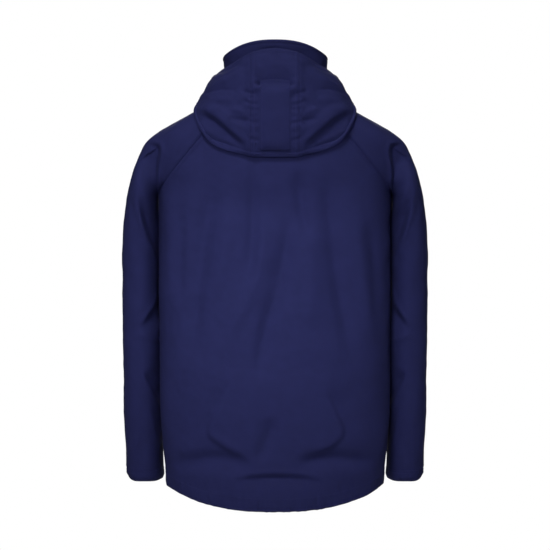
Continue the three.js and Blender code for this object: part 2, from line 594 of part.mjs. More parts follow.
addPair("sleeve", sleeveTube([...SLEEVE_LEVELS, CUFF_LEVEL], 0, SHELL, 22), SHELL_FABRIC);
addPair("sleeve_lining", sleeveTube(SLEEVE_LEVELS, 4.8, LINING, 22, SHOULDER.sleeveRadius + 6), LINING_FABRIC);
addPair("inner_cuff", innerCuff(), ELASTIC);
addPair("cuff_tab", cuffTab(), SHELL_FABRIC);
addPair("cuff_loop_patch", cuffPatch(), HOOK_AND_LOOP);

add("hood_centre_panel", hoodPanel(-HOOD_SEAM + 0.003, HOOD_SEAM - 0.003, 6, 9), SHELL_FABRIC);
addPair("hood_side", hoodPanel(HOOD_SEAM, 1, 11, 8), SHELL_FABRIC);
add("hood_neck_panel", hoodNeckPanel(), SHELL_FABRIC);
add("hood_tab", onHood(HOOD_TAB, 9), SHELL_FABRIC);
add("hood_tab_patch", onHood(HOOD_PATCH, 6), HOOK_AND_LOOP);
addPair("hood_eyelet", eyelet(), METAL);

addPair("zip_chain", zipChain(), MOULDED, front);
addPair("zip_tape", zipTape(), ZIP_TAPE, front);
add("zip_box", zipBox(), MOULDED, front);
add("zip_slider", zipSlider(), METAL, front);
add("zip_pull", zipPull(), MOULDED, front);
add("inner_storm_guard", innerGuard(), LINING_FABRIC, front);
add("storm_flap", stormFlap(), SHELL_FABRIC, front);
add("storm_flap_hook_strip", hookStrip(), HOOK_AND_LOOP, front);
add("storm_flap_loop_strip", loopStrip(), HOOK_AND_LOOP, front);
["top", "bottom"].forEach((place, i) => {
  add("stud_cap_" + place, disc(7.5, 1.4, STUD.x, FLAP.outer - 1.1, STUD.offsets[i]), METAL, front);
  add("stud_post_" + place, disc(5, 5.6, STUD.x, -3.7, STUD.offsets[i], 14), METAL, front);
});

addPair("pocket", pocket(), SHELL_FABRIC);
addPair("pocket_flap", pocketFlap(), SHELL_FABRIC);

add("hem_facing", hemFacing(), LINING_FABRIC);
add("hem_cord", hemCord(), ELASTIC);
addPair("cord_lock", cordLock(), MOULDED);
addPair("cord_lock_button", cordLockButton(), MOULDED);

add("hanger_loop", hangerLoop(), ZIP_TAPE);
add("neck_label", box([-24, 58, -46], [24, 59, -24]), LABEL);

export default jacket;
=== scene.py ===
"""A hooded foul weather sailing jacket, worn and zipped up with its hood down, seen from behind."""
import math

import bmesh
import bpy
import numpy as np
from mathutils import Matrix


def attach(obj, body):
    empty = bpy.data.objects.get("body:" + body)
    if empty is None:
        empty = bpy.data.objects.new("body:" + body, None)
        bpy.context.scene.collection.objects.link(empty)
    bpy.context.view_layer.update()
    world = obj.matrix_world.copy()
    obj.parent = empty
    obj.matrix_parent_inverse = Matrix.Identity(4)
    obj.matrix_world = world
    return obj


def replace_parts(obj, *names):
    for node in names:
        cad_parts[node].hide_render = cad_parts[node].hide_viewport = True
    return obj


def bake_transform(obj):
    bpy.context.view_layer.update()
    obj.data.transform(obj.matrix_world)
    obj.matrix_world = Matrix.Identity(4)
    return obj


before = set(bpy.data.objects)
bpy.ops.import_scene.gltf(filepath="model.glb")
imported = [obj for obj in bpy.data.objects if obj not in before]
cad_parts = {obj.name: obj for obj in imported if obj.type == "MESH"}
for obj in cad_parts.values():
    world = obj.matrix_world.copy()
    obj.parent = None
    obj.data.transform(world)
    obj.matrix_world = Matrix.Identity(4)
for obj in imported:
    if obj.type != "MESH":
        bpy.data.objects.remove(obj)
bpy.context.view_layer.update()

# Shapes are drawn in millimetres from the middle of the neck, and moved to the frame when a mesh is made.
NECK_TO_LOOP = 61.0
SIDES = {"left": 1, "right": -1}


# ---- Camera, light and floor ----

CAMERA_DISTANCE = 3000.0
CAMERA_LEVEL = -350.0
FOCAL_LENGTH = 106.1
FLOOR_LEVEL = -1.45
FLOOR_RADIUS = 2.6
WORLD_GLOW = 0.1
# Each light's name, place, target, size, power and spread in degrees.
LIGHTS = [
    ("key", (0.55, 2.2, 2.1), (0, 0, -0.62), 0.8, 8.2, 55),
    ("pool", (0.3, 3.0, 0.1), (0.03, 0, -0.38), 0.4, 1.1, 20),
    ("top", (0.0, 0.3, 2.1), (0, 0, -0.1), 1.0, 13, 180),
    ("front", (0.0, -3.1, 0.9), (0, 0, -0.35), 1.5, 60, 180),
    ("side_left", (2.4, 1.0, -0.1), (0, 0, -0.5), 1.2, 6, 180),
    ("side_right", (-2.4, 1.0, -0.1), (0, 0, -0.5), 1.2, 6, 180),
]


def add_object(name, data):
    piece = bpy.data.objects.new(name, data)
    bpy.context.collection.objects.link(piece)
    return piece


def new_material(name):
    """A material, its node tree and its shader."""
    material = bpy.data.materials.new(name)
    material.use_nodes = True
    return material, material.node_tree, material.node_tree.nodes["Principled BSDF"]


def add_camera():
    data = bpy.data.cameras.new("camera")
    data.lens = FOCAL_LENGTH
    camera = add_object("camera", data)
    camera.location = (0, (CAMERA_DISTANCE - NECK_TO_LOOP) / 1000, CAMERA_LEVEL / 1000)
    camera.rotation_euler = (math.radians(90), 0, math.radians(180))
    bpy.context.scene.camera = camera


def add_area_light(name, place, target, size, power, spread):
    data = bpy.data.lights.new(name, "AREA")
    data.shape, data.size, data.energy, data.spread = "DISK", size, power, math.radians(spread)
    light = add_object(name, data)
    light.location = place
    aim = np.array(target) - np.array(place)
    yaw = math.atan2(aim[0], -aim[1])
    pitch = math.atan2(math.hypot(aim[0], aim[1]), -aim[2])
    light.rotation_euler = (pitch, 0, yaw + math.pi)


def add_world(glow):
    """A white studio that lights the jacket less than it shows behind it."""
    world = bpy.data.worlds.new("studio")
    world.use_nodes = True
    tree = world.node_tree
    seen = tree.nodes.new("ShaderNodeLightPath").outputs["Is Camera Ray"]
    strength = tree.nodes.new("ShaderNodeMapRange")
    strength.inputs["To Min"].default_value = glow
    strength.inputs["To Max"].default_value = 1.0
    tree.links.new(seen, strength.inputs["Value"])
    background = tree.nodes["Background"]
    background.inputs["Color"].default_value = (1, 1, 1, 1)
    tree.links.new(strength.outputs["Result"], background.inputs["Strength"])
    bpy.context.scene.world = world
    bpy.context.scene.view_settings.view_transform = "Standard"


def add_stage():
    add_world(WORLD_GLOW)
    for light in LIGHTS:
        add_area_light(*light)
    floor = bpy.data.meshes.new("floor")
    turns = np.linspace(0, 2 * math.pi, 96, endpoint=False)
    rim = [(FLOOR_RADIUS * math.cos(a), FLOOR_RADIUS * math.sin(a), FLOOR_LEVEL) for a in turns]
    floor.from_pydata(rim, [], [tuple(range(len(rim)))])
    piece = add_object("floor", floor)
    material, _, shader = new_material("floor")
    shader.inputs["Base Color"].default_value = (0.9, 0.9, 0.9, 1)
    shader.inputs["Roughness"].default_value = 0.9
    floor.materials.append(material)


# ---- Numbers: profiles, noise and folds ----

def smoothstep(value, low, high):
    share = np.clip((value - low) / (high - low), 0, 1)
    return share * share * (3 - 2 * share)


def mix(a, b, share):
    return a + (b - a) * share

def hump(value, place, width):
    """A smooth hump, 1 high at a place."""
    return np.exp(-((value - place) / width) ** 2)


def xyz(x, y, z):
    return np.stack(np.broadcast_arrays(x, y, z), axis=-1)


def profile(pairs, t):
    """The value at t of a smooth curve through [position, value] pairs."""
    x, y = np.array(sorted(pairs), float).T
    slope = np.concatenate(([(y[1] - y[0]) / (x[1] - x[0])], (y[2:] - y[:-2]) / (x[2:] - x[:-2]),
                            [(y[-1] - y[-2]) / (x[-1] - x[-2])]))
    t = np.clip(t, x[0], x[-1])
    i = np.clip(np.searchsorted(x, t) - 1, 0, len(x) - 2)
    width = x[i + 1] - x[i]
    u = (t - x[i]) / width
    return (y[i] * (2 * u**3 - 3 * u**2 + 1) + y[i + 1] * (3 * u**2 - 2 * u**3)
            + width * (slope[i] * (u**3 - 2 * u**2 + u) + slope[i + 1] * (u**3 - u**2)))


def bent(value, squareness):
    return np.sign(value) * np.abs(value) ** (2 / squareness)


def lattice(i, j, k, seed):
    """A repeatable number from -1 to 1 for each point of a lattice."""
    mask = np.int64(0x7FFFFFFF)
    h = (i * 374761393 + j * 668265263 + k * 2147483647 + seed * 1274126177) & mask
    h = ((h ^ (h >> 13)) * 1103515245 + 12345) & mask
    h = (h ^ (h >> 16)) & mask
    return h / (mask / 2) - 1


def noise(points, scale, seed):
    """Smooth noise from -1 to 1 over points, one bump being about as wide as the scale."""
    p = np.asarray(points, float) / scale
    base = np.floor(p).astype(np.int64)
    f = p - base
    f = f * f * (3 - 2 * f)
    total = np.zeros(p.shape[:-1])
    for corner in range(8):
        di, dj, dk = corner & 1, corner >> 1 & 1, corner >> 2
        weight = ((f[..., 0] if di else 1 - f[..., 0]) * (f[..., 1] if dj else 1 - f[..., 1])
                  * (f[..., 2] if dk else 1 - f[..., 2]))
        total += weight * lattice(base[..., 0] + di, base[..., 1] + dj, base[..., 2] + dk, seed)
    return total


def elevation(points):
    """Where points stand on the flat back elevation, as the camera sees them."""
    scale = CAMERA_DISTANCE / (CAMERA_DISTANCE - points[..., 1])
    return np.stack((points[..., 0] * scale, CAMERA_LEVEL + (points[..., 2] - CAMERA_LEVEL) * scale), axis=-1)


def smooth_line(line, count=9):
    """A polyline through given points, rounded as a Catmull-Rom curve."""
    p = np.array([line[0], *line, line[-1]], float)
    out = []
    for a, b, c, d in zip(p, p[1:], p[2:], p[3:]):
        for t in np.arange(count) / count:
            out.append(0.5 * (2 * b + (c - a) * t + (2 * a - 5 * b + 4 * c - d) * t**2
                              + (3 * b - a - 3 * c + d) * t**3))
    return np.array([*out, p[-1]])


def along_line(flat, line):
    """The signed distance to a polyline, positive on its left, and the share of its length."""
    lengths = np.linalg.norm(np.diff(line, axis=0), axis=1)
    starts = np.concatenate(([0], np.cumsum(lengths)))
    best = np.full(flat.shape[:-1], 1e9)
    signed = np.zeros_like(best)
    share = np.zeros_like(best)
    for a, b, length, start in zip(line, line[1:], lengths, starts):
        step = (b - a) / length
        t = np.clip((flat - a) @ step, 0, length)
        off = flat - a - t[..., None] * step
        distance = np.linalg.norm(off, axis=-1)
        closer = distance < best
        best = np.where(closer, distance, best)
        side = np.sign(step[0] * off[..., 1] - step[1] * off[..., 0])
        signed = np.where(closer, distance * side, signed)
        share = np.where(closer, (start + t) / starts[-1], share)
    return signed, share

# The share of a fold's length over which it fades out at each end.
FOLD_FADE = 0.3


def fold(flat, line, width, height, shape="round"):
    """How far a fold along a line lifts the cloth. A drop has a lip on its left and falls away on its right."""
    distance, share = along_line(flat, smooth_line(line))
    ends = smoothstep(share, -0.02, FOLD_FADE) * smoothstep(1 - share, -0.02, FOLD_FADE)
    q = distance / width
    if shape == "round":
        lift = np.exp(-q * q)
    elif shape == "sharp":
        lift = np.exp(-np.sqrt(q * q + 0.02) * 1.6 + 0.22)
    else:
        lift = 0.22 * hump(q, 0.55, 0.5) - smoothstep(-q, -0.35, 0.6) * hump(np.maximum(-q, 0), 0, 3.2)
    return height * ends * lift


def folds(flat, table):
    """All the folds of a table of (line, width, height) or (line, width, height, shape) rows."""
    return sum(fold(flat, *row) for row in table)


# ---- Meshes ----

def to_frame(points):
    return (np.asarray(points, float).reshape(-1, 3) - (0, NECK_TO_LOOP, 0)) / 1000


def new_piece(name, points, faces, body, material, cloth=None):
    mesh = bpy.data.meshes.new(name)
    mesh.from_pydata(to_frame(points).tolist(), [], faces)
    mesh.shade_smooth()
    mesh.materials.append(material)
    if cloth is not None:
        layer = mesh.attributes.new("cloth", "FLOAT_VECTOR", "POINT")
        layer.data.foreach_set("vector", np.ascontiguousarray(cloth, np.float32).ravel())
    piece = add_object(name, mesh)
    if body:
        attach(piece, body)
    return piece


def across(grid, axis, ring):
    """The step from each point to the next along an axis of a grid of points."""
    if ring and axis == 1:
        return (np.roll(grid, -1, axis=1) - np.roll(grid, 1, axis=1)) / 2
    return np.gradient(grid, axis=axis)


def normals(grid, outward=1, ring=False):
    n = np.cross(across(grid, 0, ring), across(grid, 1, ring)) * outward
    return n / np.maximum(np.linalg.norm(n, axis=-1, keepdims=True), 1e-9)


def raised(grid, lift, outward=1, ring=False):
    """The grid with each point moved out along its normal."""
    return grid + normals(grid, outward, ring) * np.asarray(lift, float)[..., None]


def spans(grid, axis):
    """The distance of each point of a grid from the first one, along the cloth."""
    steps = np.linalg.norm(np.diff(grid, axis=axis), axis=-1)
    pad = ((1, 0), (0, 0)) if axis == 0 else ((0, 0), (1, 0))
    return np.pad(np.cumsum(steps, axis=axis), pad)


def from_foot(grid):
    """The distance of each point of a grid from the last row, along the cloth."""
    return spans(grid[::-1], 0)[::-1]


def relaxed(grid, rounds, ring=False, weight=None):
    """The grid with its bumps smoothed, its edges held."""
    share = 0.5 if weight is None else 0.5 * weight[..., None]
    for _ in range(rounds):
        up = np.vstack((grid[:1], grid[:-1]))
        down = np.vstack((grid[1:], grid[-1:]))
        left, right = np.roll(grid, 1, axis=1), np.roll(grid, -1, axis=1)
        if not ring:
            left[:, 0], right[:, -1] = grid[:, 0], grid[:, -1]
        mean = (up + down + left + right) / 4
        mean[0], mean[-1] = grid[0], grid[-1]
        if not ring:
            mean[:, 0], mean[:, -1] = grid[:, 0], grid[:, -1]
        grid = grid + (mean - grid) * share
    return grid


def both_sides(*grids):
    """Each side's name, with its own copies of grids that are drawn for the left side."""
    for side in SIDES:
        yield side, *(grid if side == "left" else mirrored(grid) for grid in grids)


def mirrored(grid):
    return grid[:, ::-1] * np.array([-1, 1, 1])


def cloth_piece(name, grid, thickness, body, slot, material, outward=1, ring=False, inside=None):
    """A closed sheet whose outer face is the grid. Its raw edges are rounded over."""
    n = normals(grid, outward, ring)
    flat_grid, flat_inner, flat_n = grid.reshape(-1, 3), (grid - n * thickness).reshape(-1, 3), n.reshape(-1, 3)
    count = len(flat_grid)
    index = np.arange(count).reshape(grid.shape[:2])
    wrap = np.concatenate((index, index[:, :1]), axis=1) if ring else index

    def quads(*corners):
        return np.stack(corners, axis=-1).reshape(-1, 4)

    face = quads(wrap[:-1, :-1], wrap[1:, :-1], wrap[1:, 1:], wrap[:-1, 1:])
    faces = [face, face[:, ::-1] + count]
    if ring:
        borders = [wrap[0][::-1], wrap[-1]]
    else:
        borders = [np.concatenate((wrap[:, 0], wrap[-1, 1:], wrap[-2::-1, -1], wrap[0, -2::-1]))]
    cloth_u, cloth_v = spans(grid, 1), spans(grid, 0)
    middle = grid.shape[1] // 2
    cloth = xyz(cloth_u - cloth_u[:, middle:middle + 1], cloth_v, 0).reshape(-1, 3) / 1000
    points, cloths = [flat_grid, flat_inner], [cloth, cloth]
    edge_start = 2 * count
    for border in borders:
        loop = border[:-1]
        along = flat_grid[np.roll(loop, -1)] - flat_grid[np.roll(loop, 1)]
        outwards = np.cross(along, flat_n[loop]) * outward
        outwards /= np.maximum(np.linalg.norm(outwards, axis=1, keepdims=True), 1e-9)
        points.append((flat_grid[loop] + flat_inner[loop]) / 2 + outwards * thickness * 0.35)
        cloths.append(cloth[loop])
        edge = edge_start + np.arange(len(loop))
        edge_start += len(loop)
        nxt, edge_next = np.roll(loop, -1), np.roll(edge, -1)
        faces += [quads(loop, edge, edge_next, nxt), quads(edge, loop + count, nxt + count, edge_next)]
    faces = np.concatenate(faces)[:, ::outward]
    piece = new_piece(name, np.concatenate(points), faces.tolist(), body, material, np.concatenate(cloths))
    if inside is not None:
        piece.data.materials.append(inside)
        chosen = np.zeros(len(faces), np.int32)
        chosen[len(face):2 * len(face)] = 1
        piece.data.polygons.foreach_set("material_index", chosen)
    return piece


def add_cloth(name, grid, thickness, body, slot, material, stands_for, held, rests_on, bend=None, **shape):
    """A sheet that replaces solid parts."""
    piece = cloth_piece(name, grid, thickness, body, slot, material, **shape)
    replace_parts(piece, *stands_for)
    if bend:
        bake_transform(piece)


def bend_between(bodies, start, end):
    """Where a piece turns from one body to another."""
    start, end = to_frame([start, end])
    return *bodies, tuple(start), tuple(end)


def ring_faces(rings, sides):
    """The faces round a stack of rings of points, then its two end caps."""
    walls = [(i * sides + j, i * sides + (j + 1) % sides, (i + 1) * sides + (j + 1) % sides, (i + 1) * sides + j)
             for i in range(rings - 1) for j in range(sides)]
    return walls + [tuple(reversed(range(sides))), tuple(range((rings - 1) * sides, rings * sides))]


def tube(line, radius, sides):
    """Points and faces of a round tube along a line."""
    tangent = np.gradient(line, axis=0)
    tangent /= np.linalg.norm(tangent, axis=1, keepdims=True)
    up = np.array([0.0, 0.0, 1.0]) if abs(tangent[0][2]) < 0.8 else np.array([0.0, 1.0, 0.0])
    points = []
    for place, t in zip(line, tangent):
        side = np.cross(up, t)
        side /= np.linalg.norm(side)
        up = np.cross(t, side)
        for angle in np.arange(sides) * 2 * math.pi / sides:
            points.append(place + radius * (math.cos(angle) * side + math.sin(angle) * up))
    return np.array(points), ring_faces(len(line), sides)


STITCH = {"length": 2.7, "pitch": 3.7, "radius": 0.36, "corners": 6}
# Where each ring of a stitch's points stands along it, and its share of the radius.
STITCH_RINGS = ((0, 0.15), (0.14, 0.8), (0.5, 1.0), (0.86, 0.8), (1, 0.15))
EDGES = ("first_row", "last_row", "first_column", "last_column")


def values_at(distance, reach, values):
    return np.stack([np.interp(distance, reach, values[:, axis]) for axis in range(3)], axis=-1)


def stitches(line, normal):
    """The points of each stitch along a line of points on the cloth, whose normals are given."""
    reach = np.concatenate(([0], np.cumsum(np.linalg.norm(np.diff(line, axis=0), axis=1))))
    starts = np.arange(STITCH["pitch"] / 2, reach[-1] - STITCH["pitch"], STITCH["pitch"])
    head, tail = values_at(starts, reach, line), values_at(starts + STITCH["length"], reach, line)
    n = values_at(starts, reach, normal)
    n /= np.linalg.norm(n, axis=1, keepdims=True)
    ahead = tail - head
    side = np.cross(n, ahead)
    side /= np.linalg.norm(side, axis=1, keepdims=True)
    angles = (np.arange(STITCH["corners"]) * 2 * math.pi / STITCH["corners"])[None, :, None]
    around = np.cos(angles) * side[:, None] + np.sin(angles) * n[:, None]
    rings = [(head + ahead * share + n * (0.12 * swell))[:, None] + STITCH["radius"] * swell * around
             for share, swell in STITCH_RINGS]
    return np.stack(rings, axis=1).reshape(len(starts), -1, 3)


def inset_line(grid, edge, distance, outward=1):
    """The line of points at a distance in from an edge of a grid, and their normals."""
    n = normals(grid, outward)
    if edge.endswith("row"):
        grid, n = np.swapaxes(grid, 0, 1), np.swapaxes(n, 0, 1)
    if edge.startswith("last"):
        grid, n = grid[:, ::-1], n[:, ::-1]
    reach = spans(grid[:, :40], 1)
    return [np.array([values_at(distance, reach[i], values[i, :40]) for i in range(len(grid))])
            for values in (grid, n)]


def add_stitches(name, body, seams, outward=1, lines=()):
    """Stitches along seams, which are rows of (grid, edges, distances in from each edge), and along other lines."""
    lines = [inset_line(grid, edge, distance, outward) for grid, edges, distances in seams
             for edge in edges for distance in distances] + list(lines)
    blocks = np.concatenate([stitches(*line) for line in lines])
    pattern = ring_faces(len(STITCH_RINGS), STITCH["corners"])
    first = np.arange(len(blocks))[:, None, None] * blocks.shape[1]
    walls = (first + np.array(pattern[:-2])).reshape(-1, 4).tolist()
    caps = (first + np.array(pattern[-2:])).reshape(-1, STITCH["corners"]).tolist()
    new_piece(name, blocks.reshape(-1, 3), walls + caps, body, THREAD)


def spread(length, step, fine=(), fine_reach=12):
    """Shares from 0 to 1, a step apart, and a millimetre apart near the ends named in fine."""
    low = np.arange(0, fine_reach, 1.0) if "start" in fine else np.array([0.0])
    high = length - np.arange(0, fine_reach, 1.0)[::-1] if "end" in fine else np.array([length])
    inside = np.linspace(low[-1], high[0], max(2, int(round((high[0] - low[-1]) / step)) + 1))[1:-1]
    return np.concatenate((low, inside, high)) / length


def sampled(grid, rows, columns):
    """Points of a grid at fractional rows and columns."""
    rows, columns = np.broadcast_arrays(np.asarray(rows, float), np.asarray(columns, float))
    i = np.clip(np.floor(rows).astype(int), 0, grid.shape[0] - 2)
    j = np.clip(np.floor(columns).astype(int), 0, grid.shape[1] - 2)
    a, b = (rows - i)[..., None], (columns - j)[..., None]
    return (grid[i, j] * (1 - a) * (1 - b) + grid[i + 1, j] * a * (1 - b)
            + grid[i, j + 1] * (1 - a) * b + grid[i + 1, j + 1] * a * b)


def corner(distance, radius):
    """How far an edge is cut back, at a distance along it from a rounded corner."""
    short = np.clip(radius - distance, 0, radius)
    return radius - np.sqrt(radius**2 - short**2)


def repeated(points, faces, offsets):
    """Copies of one shape at several offsets, as one mesh."""
    points, offsets = np.asarray(points, float), np.asarray(offsets, float)
    everywhere = (points[None] + offsets[:, None]).reshape(-1, 3)
    return everywhere, [tuple(v + k * len(points) for v in face) for k in range(len(offsets)) for face in faces]


def turned(name, outline, place, axis, body, slot, material, node, sides=44):
    """A piece turned about an axis, which replaces a node. Its outline is a list of (radius, height) points."""
    axis = np.asarray(axis, float) / np.linalg.norm(axis)
    u = np.cross(axis, (1.0, 0.0, 0.0) if abs(axis[0]) < 0.8 else (0.0, 1.0, 0.0))
    u /= np.linalg.norm(u)
    v = np.cross(axis, u)
    angles = np.arange(sides) * 2 * math.pi / sides
    points = [np.asarray(place, float) + radius * (math.cos(a) * u + math.sin(a) * v) + height * axis
              for radius, height in outline for a in angles]
    piece = new_piece(name, points, ring_faces(len(outline), sides), body, material)
    piece.data.set_sharp_from_angle(angle=math.radians(50))
    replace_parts(piece, node)


def rounded(node, body, material, bevel):
    """A copy of a solid part, with its sharp edges rounded, in its place."""
    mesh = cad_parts[node].data.copy()
    shape = bmesh.new()
    shape.from_mesh(mesh)
    bmesh.ops.remove_doubles(shape, verts=shape.verts, dist=1e-6)
    bmesh.ops.dissolve_limit(shape, angle_limit=math.radians(1), verts=shape.verts, edges=shape.edges)
    sharp = [edge for edge in shape.edges if len(edge.link_faces) == 2 and edge.calc_face_angle() > math.radians(28)]
    bmesh.ops.bevel(shape, geom=sharp, offset=bevel / 1000, segments=3, profile=0.6, affect="EDGES",
                    clamp_overlap=True)
    shape.to_mesh(mesh)
    shape.free()
    mesh.shade_smooth()
    mesh.set_sharp_from_angle(angle=math.radians(35))
    mesh.materials.clear()
    mesh.materials.append(material)
    piece = add_object(node + "_rounded", mesh)
    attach(piece, body)
    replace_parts(piece, node)


def felled_seam(distance):
    """The lift of cloth near a seam that is turned under and sewn down with two rows of stitches."""
    ridge = 0.9 * (1 - smoothstep(distance, 7.5, 10.5))
    return ridge - 0.45 * (hump(distance, 1.8, 0.8) + hump(distance, 7.4, 0.9)) - 0.7 * hump(distance, 0, 0.9)


def seam_shows(points):
    """The raglan seam flattens out on its way to the armpit."""
    return 1 - 0.85 * smoothstep(-points[..., 2], 140, 175)


def pucker(points, distance, seed, reach=14, height=0.5):
    """Small ripples that fade away from a seam."""
    return height * noise(points, 9, seed) * np.exp(-distance / reach) * smoothstep(distance, 0, 2)


def crumple(points, seed, size=1.0):
    """The slight unevenness of hanging cloth."""
    stretched = points * np.array([1.6, 1.6, 0.8])
    return size * (1.2 * noise(stretched, 75, seed) + 0.7 * noise(points, 32, seed + 1)
                   + 0.2 * noise(points, 11, seed + 2))


# ---- Materials ----

def feed(tree, socket, value):
    """Links a socket to another, or sets it to a number or colour."""
    if isinstance(value, bpy.types.NodeSocket):
        tree.links.new(value, socket)
    else:
        socket.default_value = value


def add_node(tree, kind, **inputs):
    node = tree.nodes.new(kind)
    for name, value in inputs.items():
        feed(tree, node.inputs[name.replace("_", " ")], value)
    return node


def math_node(tree, operation, *values):
    node = tree.nodes.new("ShaderNodeMath")
    node.operation = operation
    for socket, value in zip(node.inputs, values):
        feed(tree, socket, value)
    return node.outputs[0]


def mixed(tree, factor, a, b):
    node = tree.nodes.new("ShaderNodeMix")
    node.data_type = "RGBA"
    for place, value in ((0, factor), (6, a), (7, b)):
        feed(tree, node.inputs[place], value)
    return node.outputs[2]


def thread(tree, coordinates, axis, pitch):
    """A wave from 0 to 1 for threads that run side by side along an axis of the cloth."""
    split = add_node(tree, "ShaderNodeSeparateXYZ", Vector=coordinates)
    turn = math_node(tree, "MULTIPLY", split.outputs[axis], 2 * math.pi / pitch)
    wave = math_node(tree, "SINE", turn, 0.0)
    return math_node(tree, "MULTIPLY_ADD", wave, 0.5)


def fabric(name, color, shade, pitch=0.0007, roughness=0.85, bump=0.25, specular=0.08, sheen=0.0, ribs=0.0,
           pile=0.0):
    """A woven cloth. Its threads cross at the pitch, in metres, along the cloth's own coordinates."""
    material, tree, shader = new_material(name)

    def calc(*terms):
        return math_node(tree, *terms)

    cloth = add_node(tree, "ShaderNodeAttribute")
    cloth.attribute_name = "cloth"
    cloth = cloth.outputs["Vector"]
    place = tree.nodes.new("ShaderNodeTexCoord").outputs["Object"]
    weave = calc("MAXIMUM", thread(tree, cloth, 0, pitch), calc("MULTIPLY", thread(tree, cloth, 1, pitch), 0.92))
    mottle = add_node(tree, "ShaderNodeTexNoise", Vector=place, Scale=55.0, Detail=4.0, Roughness=0.6).outputs["Fac"]
    slub = add_node(tree, "ShaderNodeTexNoise", Vector=place, Scale=900.0, Detail=2.0, Roughness=0.7).outputs["Fac"]
    light = tuple(min(1.0, c * (1 + shade)) for c in color) + (1,)
    dark = tuple(c * (1 - shade) for c in color) + (1,)
    tone = calc("MULTIPLY_ADD", mottle, 0.75, 0.1)
    tone = calc("ADD", tone, calc("MULTIPLY", calc("SUBTRACT", weave, 0.7), 0.35))
    tone = calc("ADD", tone, calc("MULTIPLY", calc("SUBTRACT", slub, 0.5), 0.5))
    clamped = add_node(tree, "ShaderNodeClamp", Value=tone)
    tree.links.new(mixed(tree, clamped.outputs[0], dark, light), shader.inputs["Base Color"])
    tree.links.new(calc("MULTIPLY_ADD", slub, 0.12, roughness - 0.06), shader.inputs["Roughness"])
    height = calc("ADD", weave, calc("MULTIPLY", slub, 0.8 + pile))
    if ribs:
        height = calc("ADD", height, calc("MULTIPLY", thread(tree, cloth, 0, ribs), 3.0))
    relief = add_node(tree, "ShaderNodeBump", Height=height, Strength=bump, Distance=0.0004)
    tree.links.new(relief.outputs["Normal"], shader.inputs["Normal"])
    shader.inputs["Specular IOR Level"].default_value = specular
    if sheen:
        shader.inputs["Sheen Weight"].default_value = sheen
        shader.inputs["Sheen Roughness"].default_value = 0.5
    return material


def moulded(name, color, roughness, metallic=0.0):
    """Moulded plastic or plated metal, with a fine grain and slight wear."""
    material, tree, shader = new_material(name)
    place = tree.nodes.new("ShaderNodeTexCoord").outputs["Object"]
    wear = add_node(tree, "ShaderNodeTexNoise", Vector=place, Scale=260.0, Detail=4.0).outputs["Fac"]
    fine = add_node(tree, "ShaderNodeTexNoise", Vector=place, Scale=2600.0, Detail=2.0).outputs["Fac"]
    light = tuple(min(1.0, c * 1.35) for c in color) + (1,)
    tree.links.new(mixed(tree, wear, (*color, 1), light), shader.inputs["Base Color"])
    tree.links.new(math_node(tree, "MULTIPLY_ADD", wear, 0.2, roughness - 0.1), shader.inputs["Roughness"])
    relief = add_node(tree, "ShaderNodeBump", Height=fine, Strength=0.15, Distance=0.0002)
    tree.links.new(relief.outputs["Normal"], shader.inputs["Normal"])
    shader.inputs["Metallic"].default_value = metallic
    shader.inputs["Specular IOR Level"].default_value = 0.4
    return material


NAVY = (0.0112, 0.0129, 0.0575)
SHELL = fabric("shell_nylon", NAVY, 0.16)
LINING = fabric("lining_satin", (0.010, 0.011, 0.042), 0.12, pitch=0.0004, roughness=0.5, bump=0.1, specular=0.3)
FLEECE = fabric("collar_fleece", (0.010, 0.011, 0.046), 0.3, pitch=0.0016, roughness=0.95, bump=0.9, sheen=0.15,
                pile=2.0)
LOOPS = fabric("hook_and_loop", (0.008, 0.009, 0.03), 0.35, pitch=0.0012, roughness=0.95, bump=1.0, pile=3.0)
TAPE = fabric("zip_tape", (0.008, 0.009, 0.03), 0.2, pitch=0.0009, roughness=0.8, bump=0.6)
RIB = fabric("ribbed_elastic", (0.009, 0.010, 0.034), 0.2, pitch=0.0008, roughness=0.9, bump=0.8, ribs=0.003)
BLANK_LABEL = fabric("blank_label", (0.20, 0.22, 0.27), 0.1, pitch=0.0005, roughness=0.7, bump=0.3)
THREAD = fabric("stitching_thread", (0.0142, 0.0158, 0.073), 0.2, roughness=0.75, bump=0.3, specular=0.1)
PLASTIC = moulded("moulded_plastic", (0.007, 0.008, 0.016), 0.45)
METAL = moulded("plated_metal", (0.05, 0.052, 0.07), 0.32, metallic=1.0)


# ---- The shape of the body, the same as the solid parts' ----

NECK_LEVEL, ARMPIT_LEVEL, HEM_LEVEL = -8, -200, -733
HALF_WIDTH = [[-8, 92], [-25, 108], [-42, 132], [-55, 156], [-66, 180], [-78, 202], [-95, 219],
              [-140, 222], [-195, 216], [-330, 214], [-450, 213], [-580, 211.5], [-655, 207], [-733, 199]]
BACK_DEPTH = [[-8, 78], [-42, 97], [-66, 111], [-95, 120], [-140, 125], [-195, 126], [-450, 122], [-733, 116]]
BACK_RISE = [[-8, 8], [-25, 11], [-42, 12], [-55, 7], [-66, 2], [-95, -3], [-140, 0], [-600, 0], [-733, -38]]
FRONT_RISE = [[-8, -54], [-25, -47], [-42, -42], [-55, -40], [-66, -38], [-78, -34], [-95, -27],
              [-140, -10], [-195, -4], [-300, 0], [-733, -5]]
BODY_SQUARENESS = 2.4
FRONT_TOP = np.array((0, -104, 22.0))
FRONT_BOTTOM = np.array((0, -140, -740.0))
FRONT_LEAN = math.atan2(FRONT_TOP[1] - FRONT_BOTTOM[1], FRONT_TOP[2] - FRONT_BOTTOM[2])
ZIP_SLOT = 7
RAGLAN_BACK = (48, -4, 0.86)
RAGLAN_FRONT = (48, -55, 1.168)
